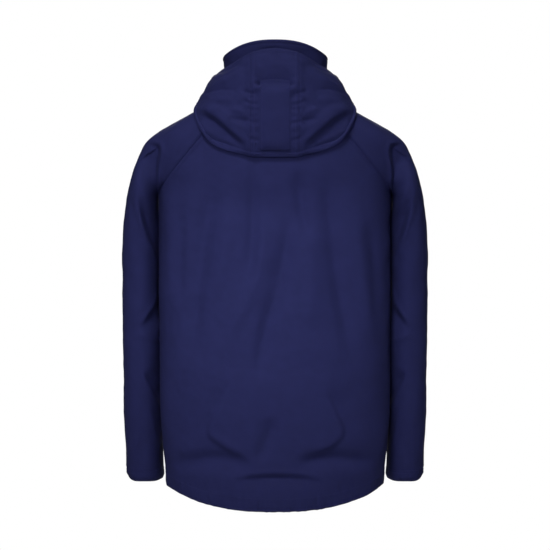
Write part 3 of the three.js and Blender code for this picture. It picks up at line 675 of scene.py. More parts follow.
SHOULDER_LINE = [(0, 92, -8), (0.25, 135, -43), (0.5, 180, -66.5), (0.7, 219, -89), (0.85, 245, -113), (1, 266, -169)]
CUFF_LEVEL = -735
SLEEVE_CENTRE_X = [[-169, 240.5], [-200, 245], [-260, 247.5], [-333, 249.3], [-450, 248.5], [-580, 247.5],
                   [-655, 246], [-735, 243.5]]
SLEEVE_CENTRE_Y = [[-200, -4], [-333, -26], [-450, -36], [-580, -44], [-735, -52]]
SLEEVE_HALF_WIDTH = [[-169, 25.5], [-200, 29], [-260, 33], [-333, 35.5], [-580, 36], [-735, 34.5]]
SLEEVE_HALF_DEPTH = [[-200, 74], [-333, 73], [-450, 70], [-580, 65], [-735, 60]]
SLEEVE_SQUARENESS = 2.3


def front_line_y(z):
    share = (z - FRONT_BOTTOM[2]) / (FRONT_TOP[2] - FRONT_BOTTOM[2])
    return mix(FRONT_BOTTOM[1], FRONT_TOP[1], share)


def body_point(angle, level, inset=0.0):
    angle, level = np.broadcast_arrays(np.asarray(angle, float), np.asarray(level, float))
    back = np.sin(angle) > 0
    rise = np.where(back, profile(BACK_RISE, level), profile(FRONT_RISE, level))
    depth = np.where(back, profile(BACK_DEPTH, level), -front_line_y(level + rise))
    return xyz((profile(HALF_WIDTH, level) - inset) * bent(np.cos(angle), BODY_SQUARENESS),
               (depth - inset) * bent(np.sin(angle), BODY_SQUARENESS), level + rise * np.sin(angle) ** 2)


def angle_where(line_x, level, side):
    level = np.asarray(level, float)
    low, high = np.zeros_like(level), np.full_like(level, math.pi / 2)
    for _ in range(40):
        middle = (low + high) / 2
        point = body_point(side * middle, level)
        outside = point[..., 0] > line_x(point[..., 2])
        low, high = np.where(outside, middle, low), np.where(outside, high, middle)
    return side * low


def raglan_x(line):
    x, z, slope = line
    return lambda height: x + slope * (z - height)


def back_seam(level):
    return angle_where(raglan_x(RAGLAN_BACK), level, 1)


def front_seam(level):
    return angle_where(raglan_x(RAGLAN_FRONT), level, -1)


def zip_edge(level):
    return angle_where(lambda height: ZIP_SLOT, level, -1)


def body_grid(start, end, shares):
    """A grid on the body between two angles at each level, the levels closer together near the neck and the hem."""
    length = NECK_LEVEL - HEM_LEVEL
    levels = (NECK_LEVEL - spread(length, 3.0, ("start", "end"), 14) * length)[:, None]
    return body_point(mix(start(levels), end(levels), shares[None, :]), levels)


# ---- The back ----

# Folds are lines on the back elevation, from the middle of the neck: x to the left, z up.
BACK_FOLDS = [
    ([(106, -128), (126, -229), (140, -322), (150, -430), (158, -530)], 18, -10.0),
    ([(172, -235), (177, -330), (176, -410)], 10, -4.0),
    ([(42, -138), (42, -276), (51, -370)], 12, -7.0),
    ([(-37, -210), (-6, -372), (18, -457), (35, -570)], 15, -10.0),
    ([(-96, -140), (-119, -364), (-150, -530)], 18, -10.0),
    ([(-44, -146), (-48, -210), (-60, -290)], 12, -6.5),
    ([(-176, -240), (-186, -340), (-190, -430)], 10, -4.0),
    ([(196, -165), (194, -276), (197, -410)], 12, 3.0),
    ([(78, -190), (92, -303), (110, -410)], 16, 4.0),
    ([(13, -235), (31, -346), (74, -446), (86, -510)], 14, 4.6),
    ([(-64, -270), (-68, -380), (-66, -460)], 16, 4.0),
    ([(-150, -225), (-164, -372), (-184, -490)], 12, 3.6),
    ([(41, -697), (93, -670), (124, -642), (105, -594), (74, -545)], 13, 5.0, "drop"),
    ([(-87, -550), (-117, -612), (-126, -642), (-105, -668), (-50, -692)], 13, 5.0, "drop"),
    ([(4, -610), (16, -660), (38, -702)], 12, -6.5),
    ([(198, -699), (157, -696), (104, -692), (34, -706)], 15, -10.0),
    ([(-28, -704), (-80, -693), (-120, -691), (-194, -699)], 15, -10.0),
    ([(-92, -731), (-50, -722), (-6, -720), (40, -722), (84, -731)], 7, 6.5, "drop"),
    ([(-160, -214), (0, -222), (160, -214)], 45, -8.0),
    ([(196, -560), (204, -640), (188, -704)], 12, 2.0),
    ([(-196, -560), (-204, -640), (-188, -704)], 12, 2.0),
]
HEM_DEPTH = 24.0


def hem_lift(points, drop, gathered):
    """The hem's turning, a little proud, its stitch line, and the gathers that its elastic makes."""
    turned = 0.9 * (1 - smoothstep(drop, HEM_DEPTH, HEM_DEPTH + 3))
    groove = 0.8 * (hump(drop, HEM_DEPTH - 1.5, 1.2) + 0.6 * hump(drop, 2.5, 1.0))
    ripple = noise(points * np.array([1, 1, 0.12]), 8.5, 31) + 0.5 * noise(points * np.array([1, 1, 0.2]), 5.0, 33)
    reach = hump(drop, HEM_DEPTH, 22) * 0.6 + hump(drop, 0, 18)
    return turned - groove + gathered * 2.4 * ripple * reach


def back_grid():
    grid = body_grid(back_seam, lambda level: math.pi - back_seam(level), spread(520, 2.4, ("start", "end"), 14))
    across_cloth = spans(grid, 1)
    near_seam = np.minimum(across_cloth, across_cloth[:, -1:] - across_cloth)
    lift = folds(elevation(grid), BACK_FOLDS) + 1.5 * crumple(grid, 3)
    lift *= smoothstep(near_seam, 0, 16)
    lift += felled_seam(near_seam) * seam_shows(grid) + pucker(grid, near_seam, 11)
    gathered = 0.35 + 0.65 * (1 - smoothstep(np.abs(grid[..., 0]), 90, 150))
    lift += hem_lift(grid, from_foot(grid), gathered)
    return raised(grid, lift * smoothstep(spans(grid, 0), 0, 6))


# On the left front, seen from the front: x out from the zip, z up.
FRONT_FOLDS = [
    ([(58, -90), (74, -200), (90, -340)], 12, -5.0),
    ([(112, -150), (128, -280), (140, -430)], 13, -5.5),
    ([(38, -130), (46, -260), (50, -420)], 12, 3.0),
    ([(172, -200), (174, -330), (180, -480)], 11, -4.0),
    ([(150, -180), (158, -300), (162, -440)], 11, 3.0),
    ([(96, -200), (108, -300), (112, -400)], 11, 3.0),
    ([(192, -560), (196, -640), (186, -700)], 9, -4.0),
    ([(186, -708), (150, -714), (110, -707), (60, -716)], 8, -4.0),
]


def front_grid():
    """The left front panel, from the zip to the side and raglan seams."""
    grid = body_grid(zip_edge, front_seam, spread(260, 2.8, ("start", "end"), 14))
    across_cloth = spans(grid, 1)
    to_side = across_cloth[:, -1:] - across_cloth
    lift = folds(grid[..., [0, 2]], FRONT_FOLDS) + 1.5 * crumple(grid, 17)
    lift *= smoothstep(np.minimum(across_cloth, to_side), 4, 22)
    lift += felled_seam(to_side) + pucker(grid, to_side, 19) + pucker(grid, across_cloth, 23)
    lift += 0.5 * (1 - smoothstep(across_cloth, 5, 7))
    lift += hem_lift(grid, from_foot(grid), 0.3)
    return raised(grid, lift * smoothstep(spans(grid, 0), 0, 6))


# ---- Sleeves ----


def shoulder_grid(shares, around):
    """The raglan shoulder from the neck to the armhole, and from the front seam over to the back seam."""
    s, w = np.meshgrid(shares, around, indexing="ij")
    level = mix(NECK_LEVEL, ARMPIT_LEVEL, s**1.1)
    seam_angle = np.where(w > 0, back_seam(level), front_seam(level))
    seam = body_point(seam_angle, level)
    side = np.where(w > 0, 1.0, -1.0)
    top_x = profile([(a, x) for a, x, _ in SHOULDER_LINE], s)
    top_z = profile([(a, z) for a, _, z in SHOULDER_LINE], s)
    depth = smoothstep(s, 0.5, 1) * 74
    reach = np.maximum(np.abs(seam[..., 1]), np.maximum(depth, 1e-3))
    end = math.pi - np.arcsin(np.clip(np.abs(seam[..., 1]) / reach, 0, 1) ** (SLEEVE_SQUARENESS / 2))
    angle = np.abs(w) * end
    travel = (1 - bent(np.cos(angle), SLEEVE_SQUARENESS)) / (1 - bent(np.cos(end), SLEEVE_SQUARENESS))
    on_arc = xyz(mix(top_x, seam[..., 0], travel), side * reach * bent(np.sin(angle), SLEEVE_SQUARENESS),
                 mix(top_z, seam[..., 2], travel))
    on_body = body_point(seam_angle * np.abs(w), level)
    return mix(on_body, on_arc, smoothstep(s, 0, 0.45)[..., None])


RING_TILT = 31.0


def sleeve_rings(levels, around):
    """Rings round the sleeve. The first ones tilt, higher on the outside, to meet the shoulder."""
    level, w = np.meshgrid(levels, around, indexing="ij")
    angle = w * math.pi
    z = level + RING_TILT * (1 - smoothstep(ARMPIT_LEVEL - level, 0, 150)) * (0.5 + 0.5 * np.cos(angle))
    return xyz(profile(SLEEVE_CENTRE_X, z) + profile(SLEEVE_HALF_WIDTH, z) * bent(np.cos(angle), SLEEVE_SQUARENESS),
               profile(SLEEVE_CENTRE_Y, z) + profile(SLEEVE_HALF_DEPTH, z) * bent(np.sin(angle), SLEEVE_SQUARENESS),
               z)


SLEEVE_FOLDS = [
    ([(213, -230), (218, -160), (213, -118), (222, -107), (244, -104)], 8, 12.0, "drop"),
    ([(254, -205), (246, -242), (235, -276), (222, -302), (213, -330), (211, -352)], 9, 14.0, "drop"),
    ([(246, -180), (234, -215), (224, -246)], 7, 3.5),
    ([(210, -346), (216, -396), (227, -416), (250, -448)], 8, 10.0, "drop"),
    ([(244, -528), (234, -550), (218, -576), (209, -598)], 7, 9.0, "drop"),
    ([(228, -592), (220, -630), (212, -668)], 8, 5.0, "drop"),
    ([(265, -150), (266, -210), (263, -262)], 6, -3.0),
    ([(256, -456), (234, -466), (212, -476)], 7, 3.0),
    ([(272, -300), (268, -360), (258, -410)], 12, -2.6),
    ([(270, -420), (262, -500), (266, -580)], 12, -2.2),
    ([(236, -650), (246, -680), (240, -700)], 9, -2.0),
    ([(190, -72), (206, -84), (226, -92)], 6, -2.2),
]
CUFF_HEM = 22.0


def sleeve_grid():
    """The whole left sleeve, raglan shoulder and all, out to the cuff."""
    around = np.linspace(-1, 1, 171)
    shares = spread(310, 3.4, ("start",), 12)
    levels = (np.linspace(ARMPIT_LEVEL - 6, -330, 38), np.linspace(-333.5, CUFF_LEVEL + 26, 105),
              np.linspace(CUFF_LEVEL + 25, CUFF_LEVEL, 19))
    grid = np.concatenate((shoulder_grid(shares, around), sleeve_rings(np.concatenate(levels), around)))
    joint = len(shares)
    rows = np.arange(len(grid))
    weight = np.where(rows[:, None] < joint, 1 - smoothstep(np.abs(around), 0.9, 1)[None, :], 1.0)
    grid = relaxed(grid, 40, weight=hump(rows, joint, 22.0)[:, None] * weight)
    behind_middle = grid[..., 1] - profile(SLEEVE_CENTRE_Y, grid[..., 2])
    reach, drop = spans(grid, 1), from_foot(grid)
    near_seam = np.minimum(reach, reach[:, -1:] - reach)
    from_neck = smoothstep(spans(grid, 0), 0, 6)
    open_rows = (1 - smoothstep(rows, joint - 14, joint))[:, None]
    seam_clear = mix(1.0, smoothstep(near_seam, 0, 14), open_rows)
    push = folds(elevation(grid), SLEEVE_FOLDS) * smoothstep(behind_middle, 0, 18)
    push -= 0.7 * folds(grid[..., [0, 2]] + np.array([0, 12]), SLEEVE_FOLDS) * smoothstep(-behind_middle, 0, 18)
    lift = 1.4 * crumple(grid, 41) * seam_clear
    lift += open_rows * (felled_seam(near_seam) * seam_shows(grid) + pucker(grid, near_seam, 43))
    lift += 0.8 * (1 - smoothstep(drop, CUFF_HEM, CUFF_HEM + 2)) - 0.7 * hump(drop, CUFF_HEM - 1.5, 1.2)
    lift += 0.5 * noise(grid * np.array([1, 1, 0.2]), 12, 47) * hump(drop, CUFF_HEM, 14)
    lift -= 2.5 * hump(drop, 0, 5)
    out = raised(grid, lift * from_neck)
    out[..., 1] += push * seam_clear * from_neck
    outer = (grid[..., 0] - profile(SLEEVE_CENTRE_X, grid[..., 2])) / profile(SLEEVE_HALF_WIDTH, grid[..., 2])
    rim_rise = 0.06 * np.maximum(behind_middle, -30) + 11 * np.clip(outer, 0, 1) ** 5 + 4 * np.clip(-outer, 0, 1) ** 6
    out[..., 2] += rim_rise * (1 - smoothstep(drop, 0, 20))
    return out


# ---- Collar ----

COLLAR_RIM = {"half_width": 97, "depth": 80, "back": 75, "side": 52, "front": 22}


def collar_point(angle, share, inset):
    angle, share, inset = np.broadcast_arrays(angle, share, inset)
    back = np.sin(angle) > 0
    seat = body_point(angle, NECK_LEVEL)
    rim = mix(COLLAR_RIM["side"], np.where(back, COLLAR_RIM["back"], COLLAR_RIM["front"]), np.sin(angle) ** 2)
    z = mix(seat[..., 2] + 1.2, rim, share)
    half_width = mix(profile(HALF_WIDTH, NECK_LEVEL), COLLAR_RIM["half_width"], share)
    depth = np.where(back, mix(profile(BACK_DEPTH, NECK_LEVEL), COLLAR_RIM["depth"], share), -front_line_y(z))
    return xyz((half_width - inset) * bent(np.cos(angle), BODY_SQUARENESS),
               (depth - inset) * bent(np.sin(angle), BODY_SQUARENESS), z)


def collar_angles(count, half_slot):
    edge = math.asin((half_slot / profile(HALF_WIDTH, NECK_LEVEL)) ** (BODY_SQUARENESS / 2))
    return np.linspace(edge - math.pi / 2, 1.5 * math.pi - edge, count)


def collar_shell_grid():
    """The collar's outer cloth, from over the rim down to the neck seam."""
    roll = np.linspace(0, 1, 7)
    shares = np.concatenate((0.955 + 0.045 * np.sin(roll * math.pi / 2), np.linspace(0.985, 0, 44)))
    insets = np.concatenate((4.4 - 0.6 * roll, [2.2], np.zeros(43)))
    shares[6], insets[6] = 1.0, 3.0
    shares[7] = 0.992
    height = shares[:, None]
    grid = collar_point(collar_angles(330, ZIP_SLOT)[None, :], height, insets[:, None])
    wave = 2.2 * noise(grid * np.array([1, 1, 0.5]), 40, 51) + 1.2 * noise(grid, 17, 52)
    lift = wave * smoothstep(height, 0, 0.2) * (1 - 0.6 * smoothstep(height, 0.8, 1))
    lift += fold(elevation(grid), [(40, 60), (0, 66), (-40, 60)], 5, -2.2) * (grid[..., 1] > 0)
    outer = np.arange(len(shares)) > 7
    return raised(grid, (lift - hump(height, 0.9, 0.02) * 0.8) * outer[:, None])


def collar_lining_grid():
    grid = collar_point(collar_angles(240, 17.5)[None, :], np.linspace(0.965, 0.02, 30)[:, None], 5.2)
    return raised(grid, 0.5 * noise(grid, 18, 61) - 0.3)


# ---- Hood ----

HOOD_CURVES = [
    (0.0, (0, 108, 54), (0, 152, 55), (0, 173, -100), (0, 131, -141)),
    (0.1, (21.5, 106.5, 52), (21.5, 151.5, 53), (21.5, 172.3, -100.5), (21.5, 130.9, -140.5)),
    (0.2, (43, 102, 46), (43, 150, 46), (43, 170, -102), (43, 130.5, -139)),
    (0.4, (84, 70, 27), (108, 108, 22), (118, 150, -88), (105, 121, -121)),
    (0.55, (101, 38, 20), (121, 62, 14), (143, 126, -70), (133, 113, -90)),
    (0.7, (108, 8, 14), (120, 30, 14), (142, 82, -46), (146, 77, -53)),
    (0.85, (109, -26, -2), (119, -18, 3), (134, 8, -24), (136, 8, -34)),
    (0.93, (105, -55, -18), (115, -52, -14), (126, -42, -26), (124, -42, -34)),
    (1.0, (92, -82, -34), (96, -84, -32), (99, -85, -38), (96, -84, -42)),
]
HOOD_SEAM = 0.2


def hood_point(u, share):
    """The hood's outer face, from the rim, at 0, to its lower edge, at 1, and from the centre back to a corner."""
    u, share = np.broadcast_arrays(np.asarray(u, float), np.asarray(share, float))
    side = np.where(u < 0, -1.0, 1.0)
    t = share[..., None]
    a, b, c, d = [xyz(*(profile([(curve[0], curve[row][axis]) for curve in HOOD_CURVES], np.abs(u))
                        for axis in range(3))) * xyz(side, 1, 1) for row in range(1, 5)]
    return a * (1 - t)**3 + 3 * b * t * (1 - t)**2 + 3 * c * t**2 * (1 - t) + d * t**3


HOOD_FOLDS = [
    ([(44, 2), (0, -3), (-44, 2)], 10, 14.0, "drop"),
    ([(44, 14), (38, 0), (34, -12)], 6, 3.0),
    ([(48, -116), (66, -101), (110, -61), (152, -40)], 14, 10.0, "drop"),
    ([(140, -74), (104, -96), (62, -120)], 9, 2.6),
    ([(142, -30), (104, -44), (70, -70), (52, -86)], 8, 2.6),
    ([(140, -16), (104, -6), (70, -8)], 6, -2.8, "sharp"),
    ([(124, -2), (84, 14), (56, 34)], 6, 3.0),
    ([(116, 22), (84, 36), (60, 48)], 6, -4.5),
    ([(134, -26), (100, -24), (72, -28)], 7, 2.0),
    ([(84, -42), (66, -46), (50, -53)], 6, 3.0),
    ([(84, -60), (66, -63), (44, -66)], 5, -3.5),
]
# The hood is gathered beside its tab: the height of each tuck, its tilt, its length and its depth.
HOOD_TUCKS = [(-13, 6, 38, 2.4), (-21, -3, 26, 1.6), (-32, 7, 34, 2.2), (-43, 1, 25, 1.6), (-58, -5, 22, 1.0),
              (-66, 8, 30, 1.6), (-86, -3, 22, 0.9), (-97, 9, 28, 1.5)]
HOOD_GATHERS = [([(27 + reach, level + tilt), (46, level), (26, level - tilt / 2)], 3.2, -depth)
                for level, tilt, reach, depth in HOOD_TUCKS]
HOOD_HEM = 18.0
HOOD_DEPTH = 300


def hood_grid(start, end, columns, seams):
    """One panel of the hood, between two shares of the way from the centre back to a front corner."""
    shares = spread(HOOD_DEPTH, 2.6, ("start", "end"), 8)
    grid = hood_point(columns[None, :] * (end - start) + start, shares[:, None])
    flat = elevation(grid)
    both = np.stack((np.abs(flat[..., 0]), flat[..., 1]), axis=-1)
    behind = smoothstep(grid[..., 1], -40, 10)
    lift = folds(both, HOOD_FOLDS) * behind
    lift += 1.8 * noise(grid, 42, 71) + 1.5 * noise(grid, 19, 72) + 0.5 * noise(grid, 8, 73)
    from_rim, to_base, reach = spans(grid, 0), from_foot(grid), spans(grid, 1)
    lift *= smoothstep(np.minimum(from_rim, to_base), 0, 12)
    for seam in seams:
        distance = reach if seam == "first" else reach[:, -1:] - reach
        lift *= 0.25 + 0.75 * smoothstep(distance, 0, 16)
        lift += felled_seam(distance) + pucker(grid, distance, 77, reach=20, height=1.0)
    lift += folds(both, HOOD_GATHERS) * behind
    lift += 0.9 * (1 - smoothstep(from_rim, HOOD_HEM, HOOD_HEM + 2)) - 0.8 * hump(from_rim, HOOD_HEM - 2, 1.3)
    lift += 0.8 * noise(grid * np.array([1, 1, 0.3]), 12, 79) * hump(from_rim, HOOD_HEM, 12)
    lift += 1.0 * (1 - smoothstep(to_base, 8, 10)) - hump(to_base, 9, 1.4)
    return raised(grid, lift, outward=-1)


# ---- The front's own frame: its origin is the top of the zip, and its -Z runs down the zip ----

def on_front(x, y, z):
    c, k = math.cos(FRONT_LEAN), math.sin(FRONT_LEAN)
    return xyz(x, FRONT_TOP[1] + y * c + z * k, FRONT_TOP[2] - y * k + z * c)


def front_point(x, z, out):
    """A point on the front of the body at a given x and height, moved out."""
    half = profile(HALF_WIDTH, z)

    def depth(at):
        return front_line_y(z) * (1 - (at / half) ** BODY_SQUARENESS) ** (1 / BODY_SQUARENESS)

    slope = depth(x + 0.5) - depth(x - 0.5)
    size = np.hypot(slope, 1)
    return xyz(x + out * slope / size, depth(x) - out / size, z)


# ---- Making the main pieces ----

def add_back():
    grid = back_grid()
    add_cloth("back_cloth", grid, 1.6, "shell", "shell_fabric", SHELL, ["back_panel"], "hung", ["collar_cloth"],
              inside=LINING)
    return grid


def add_fronts():
    grid = front_grid()
    for side, own in both_sides(grid):
        add_cloth("front_cloth_" + side, own, 1.6, "shell", "shell_fabric", SHELL, ["front_panel_" + side], "hung",
                  ["collar_cloth"], inside=LINING)
    return grid


def add_sleeves():
    grid = sleeve_grid()
    level = grid[:, :, 2].mean(axis=1)
    inner = raised(grid[(level < -186) & (level > -668)][::3, ::3], -3.6)
    ribbed = sleeve_rings(np.linspace(-653, -725, 40), np.linspace(-1, 1, 341)[:-1])
    squeeze = mix(7, 14, np.linspace(0, 1, 40))[:, None]
    ribbed = raised(ribbed, 0.7 * np.cos(spans(ribbed, 1) * 2 * math.pi / 3.4) - squeeze, ring=True)
    for side, own, satin, rib in both_sides(grid, inner, ribbed):
        arm = "sleeve_" + side
        bend = bend_between(("shell", arm), (SIDES[side] * 216, 0, -190), (SIDES[side] * 272, 0, -210))
        add_cloth("sleeve_cloth_" + side, own, 1.5, None, "shell_fabric", SHELL, ["shoulder_" + side, arm], "hung",
                  ["back_cloth", "front_cloth_" + side], bend, inside=LINING)
        add_cloth("sleeve_satin_" + side, satin, 0.8, None, "lining", LINING, ["sleeve_lining_" + side], "hung",
                  ["sleeve_cloth_" + side], bend)
        add_cloth("knitted_cuff_" + side, rib, 1.4, arm, "elastic", RIB, ["inner_cuff_" + side], "stretched",
                  ["sleeve_satin_" + side], ring=True)
    return grid


CUFF_TAB = {"high": -690, "low": -722, "sewn": -0.49, "free": -1.75}


def cuff_strip(sleeve, from_angle, to_angle, margin, lift, round_end):
    """A strip on the sleeve's cuff between two angles, lifted off its cloth."""
    level = sleeve[:, :, 2].mean(axis=1)
    near = np.where(level < -670)[0]
    length = 40 * abs(to_angle - from_angle)
    along = spread(length, 2.0, ("start", "end"), 6)
    cut = corner(along * length, round_end)[None, :]
    z = mix(CUFF_TAB["high"] - margin - cut, CUFF_TAB["low"] + margin + cut, np.linspace(0, 1, 22)[:, None])
    columns = (mix(to_angle, from_angle, along)[None, :] / math.pi + 1) / 2 * (sleeve.shape[1] - 1)
    return raised(relaxed(sampled(sleeve, np.interp(-z, -level[near], near), columns), 12), lift)


def add_cuff_tabs(sleeve):
    tab = cuff_strip(sleeve, CUFF_TAB["sewn"], CUFF_TAB["free"], 0, 4.2, 11)
    patch = cuff_strip(sleeve, CUFF_TAB["sewn"] - 0.25, CUFF_TAB["free"] - 0.15, 4, 1.5, 2)
    for side, own, loops in both_sides(tab, patch):
        body = "cuff_tab_" + side
        add_cloth("cuff_tab_cloth_" + side, own, 1.7, body, "shell_fabric", SHELL, [body], "hung",
                  ["sleeve_cloth_" + side], inside=LOOPS)
        add_stitches("cuff_tab_stitches_" + side, body, [(own, EDGES, [2.6])])
        add_cloth("cuff_loops_" + side, loops, 1.3, "sleeve_" + side, "hook_and_loop", LOOPS,
                  ["cuff_loop_patch_" + side], "laid", ["sleeve_cloth_" + side])


def add_collar():
    shell = collar_shell_grid()
    add_cloth("collar_cloth", shell, 1.4, "shell", "shell_fabric", SHELL, ["collar_shell"], "stretched",
              ["back_cloth"])
    add_cloth("collar_fleece", collar_lining_grid(), 2.6, "shell", "fleece", FLEECE, ["collar_lining"], "stretched",
              ["collar_cloth"])
    return shell


HOOD_CENTRE_COLUMNS = spread(86, 2.4, ("start", "end"), 12)
HOOD_SIDE_COLUMNS = spread(330, 2.8, ("start",), 14)


def add_hood():
    centre = hood_grid(-HOOD_SEAM, HOOD_SEAM, HOOD_CENTRE_COLUMNS, ("first", "last"))
    side_grid = hood_grid(HOOD_SEAM, 1.0, HOOD_SIDE_COLUMNS, ("first",))
    panels = [("hood_centre_cloth", centre, "hood_centre_panel")]
    panels += [("hood_side_cloth_" + side, own, "hood_side_" + side) for side, own in both_sides(side_grid)]
    for name, grid, node in panels:
        add_cloth(name, grid, 1.8, "hood", "shell_fabric", SHELL, [node], "hung", ["collar_cloth"], outward=-1,
                  inside=LINING)
    return centre, side_grid


HOOD_TAB = {"half_width": 26, "from": 0.4, "to": 0.925}
HOOD_PATCH = {"half_width": 18, "from": 0.62, "to": 0.93}


def on_hood(centre, strip, lift, round_end):
    """A strip down the middle of the hood, lifted off its cloth."""
    top, foot, width = strip["from"], strip["to"], 2 * strip["half_width"]
    shares = spread(HOOD_DEPTH, 2.6, ("start", "end"), 8)
    across_strip = spread(width, 2.0, ("start", "end"), 6)
    cut = corner(np.minimum(across_strip, 1 - across_strip) * width, round_end)[None, :]
    share = mix(top, foot - cut / HOOD_DEPTH, np.linspace(0, 1, 40)[:, None])
    columns = np.interp((across_strip - 0.5) * width, centre[len(centre) // 2, :, 0], np.arange(centre.shape[1]))
    rows = np.interp(share, shares, np.arange(len(shares)))
    return raised(relaxed(sampled(centre, rows, columns[None, :]), 14), lift, outward=-1)


EYELET = [(3.0, -0.6), (4.4, -0.6), (4.9, 0.0), (4.9, 0.5), (4.4, 1.0), (3.6, 1.1), (2.9, 0.8), (2.5, 0.3),
          (2.5, -0.4)]
EYELET_PLACE = 0.86


def add_hood_trim(centre, side_grid):
    tab = on_hood(centre, HOOD_TAB, 3.4, 3)
    from_side = np.minimum(HOOD_TAB["half_width"] - np.abs(tab[..., 0]), from_foot(tab))
    bow = 1.5 * smoothstep(from_side, 0, 12) - 1.5 - 1.6 * (1 - smoothstep(spans(tab, 0), 0, 14))
    tab = raised(tab, bow + 0.6 * noise(tab, 24, 91) + 0.3 * noise(tab, 9, 92), outward=-1)
    add_cloth("hood_tab_cloth", tab, 1.6, "hood_tab", "shell_fabric", SHELL, ["hood_tab"], "hung",
              ["hood_centre_cloth"], outward=-1, inside=LOOPS)
    add_stitches("hood_tab_stitches", "hood_tab", [(tab, EDGES[:1], [2.5, 8]), (tab, EDGES[1:], [3])], outward=-1)
    add_cloth("hood_tab_loops", on_hood(centre, HOOD_PATCH, 1.5, 2), 1.2, "hood", "hook_and_loop", LOOPS,
              ["hood_tab_patch"], "laid", ["hood_centre_cloth"], outward=-1)
    row = 0.5 * (side_grid.shape[0] - 1)
    column = np.interp((EYELET_PLACE - HOOD_SEAM) / (1 - HOOD_SEAM), HOOD_SIDE_COLUMNS,
                       np.arange(side_grid.shape[1]))
    place, facing = [sampled(values, row, column) for values in (side_grid, normals(side_grid, -1))]
    for side, sign in SIDES.items():
        flip = np.array([sign, 1, 1])
        turned("hood_eyelet_ring_" + side, EYELET, place * flip, facing * flip, "hood", "metal", METAL,
               "hood_eyelet_" + side)


def add_neck_panel():
    levels = np.linspace(-9, -112, 44)[:, None]
    angle = math.pi / 2 - np.linspace(-1, 1, 70)[None, :] * mix(0.72, 0.36, (levels + 9) / -103)
    grid = body_point(angle, levels) + np.array([0, 1, 0.35]) / math.hypot(1, 0.35) * 4.0
    grid = raised(grid, 0.7 * noise(grid, 26, 95), outward=-1)
    add_cloth("hood_neck_cloth", grid, 1.3, None, "shell_fabric", SHELL, ["hood_neck_panel"], "hung", ["back_cloth"],
              bend_between(("shell", "hood"), (0, 90, -9), (0, 90, -112)), outward=-1)


# ---- The zip, the storm flap and the studs ----

ZIP = {"top": -6, "bottom": -752, "pitch": 2.5}
TOOTH = [(1.05, -0.42), (1.5, -0.6), (2.2, -0.62), (2.7, -0.46), (4.1, -0.62),
         (4.1, 0.62), (2.7, 0.46), (2.2, 0.62), (1.5, 0.6), (1.05, 0.42)]
TOOTH_LAYERS = [(1.3, 0.78), (1.7, 1.0), (5.3, 1.0), (5.7, 0.78)]
FLAP = {"sewn": 34, "free": -38, "top": -52, "bottom": -757}
FLAP_SECTION = [(-38.0, -1.6), (-37.9, -3.6), (-37.0, -6.3), (-35.0, -8.7), (-32.0, -9.8), (-28.0, -10.1),
                (-14, -10.1), (0, -10.0), (12, -10.0), (22, -9.9), (27, -9.2), (31, -6.8), (33.4, -4.1), (34.0, -2.0)]
STUD_PLACES = {"top": -68, "bottom": -741}


def add_zip():
    middle = np.array([2.5, 0])
    tooth = np.array([(*(middle + (np.array(c) - middle) * size), y) for y, size in TOOTH_LAYERS for c in TOOTH])
    tooth = tooth[:, [0, 2, 1]]
    for side, sign in SIDES.items():
        start = ZIP["top"] - 1 - (ZIP["pitch"] / 2 if sign < 0 else 0)
        levels = np.arange(start, ZIP["bottom"] + 1, -ZIP["pitch"])
        points, faces = repeated(tooth * np.array([sign, 1, 1]), ring_faces(len(TOOTH_LAYERS), len(TOOTH)),
                                 xyz(0, 0, levels))
        piece = new_piece("zip_teeth_" + side, on_front(*points.T), [face[::-sign] for face in faces], "shell",
                          PLASTIC)
        piece.data.set_sharp_from_angle(angle=math.radians(40))
        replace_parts(piece, "zip_chain_" + side)
        x = np.sort(sign * np.linspace(3.4, 16, 15))[None, :]
        z = np.arange(ZIP["top"], ZIP["bottom"] - 1, -6.0)[:, None]
        tape = on_front(x, 5.5 - 1.1 * hump(np.abs(x), 4.6, 0.7), z)
        add_cloth("zip_tape_cloth_" + side, tape, 0.8, "shell", "zip_tape", TAPE, ["zip_tape_" + side], "stretched",
                  ["front_cloth_" + side])
    rounded("zip_box", "shell", PLASTIC, 0.8)
    rounded("zip_slider", "zip_slider", METAL, 0.3)
    rounded("zip_pull", "zip_pull", PLASTIC, 0.35)
    z = np.arange(ZIP["top"] - 6, ZIP["bottom"] - 1, -4.0)[:, None]
    guard = on_front(np.linspace(-15, 15, 22)[None, :], 8.6, z)
    guard = raised(guard, 0.4 * noise(guard, 30, 97))
    add_cloth("storm_guard_cloth", guard, 1.1, "shell", "lining", LINING, ["inner_storm_guard"], "stretched",
              ["zip_tape_cloth_left"])


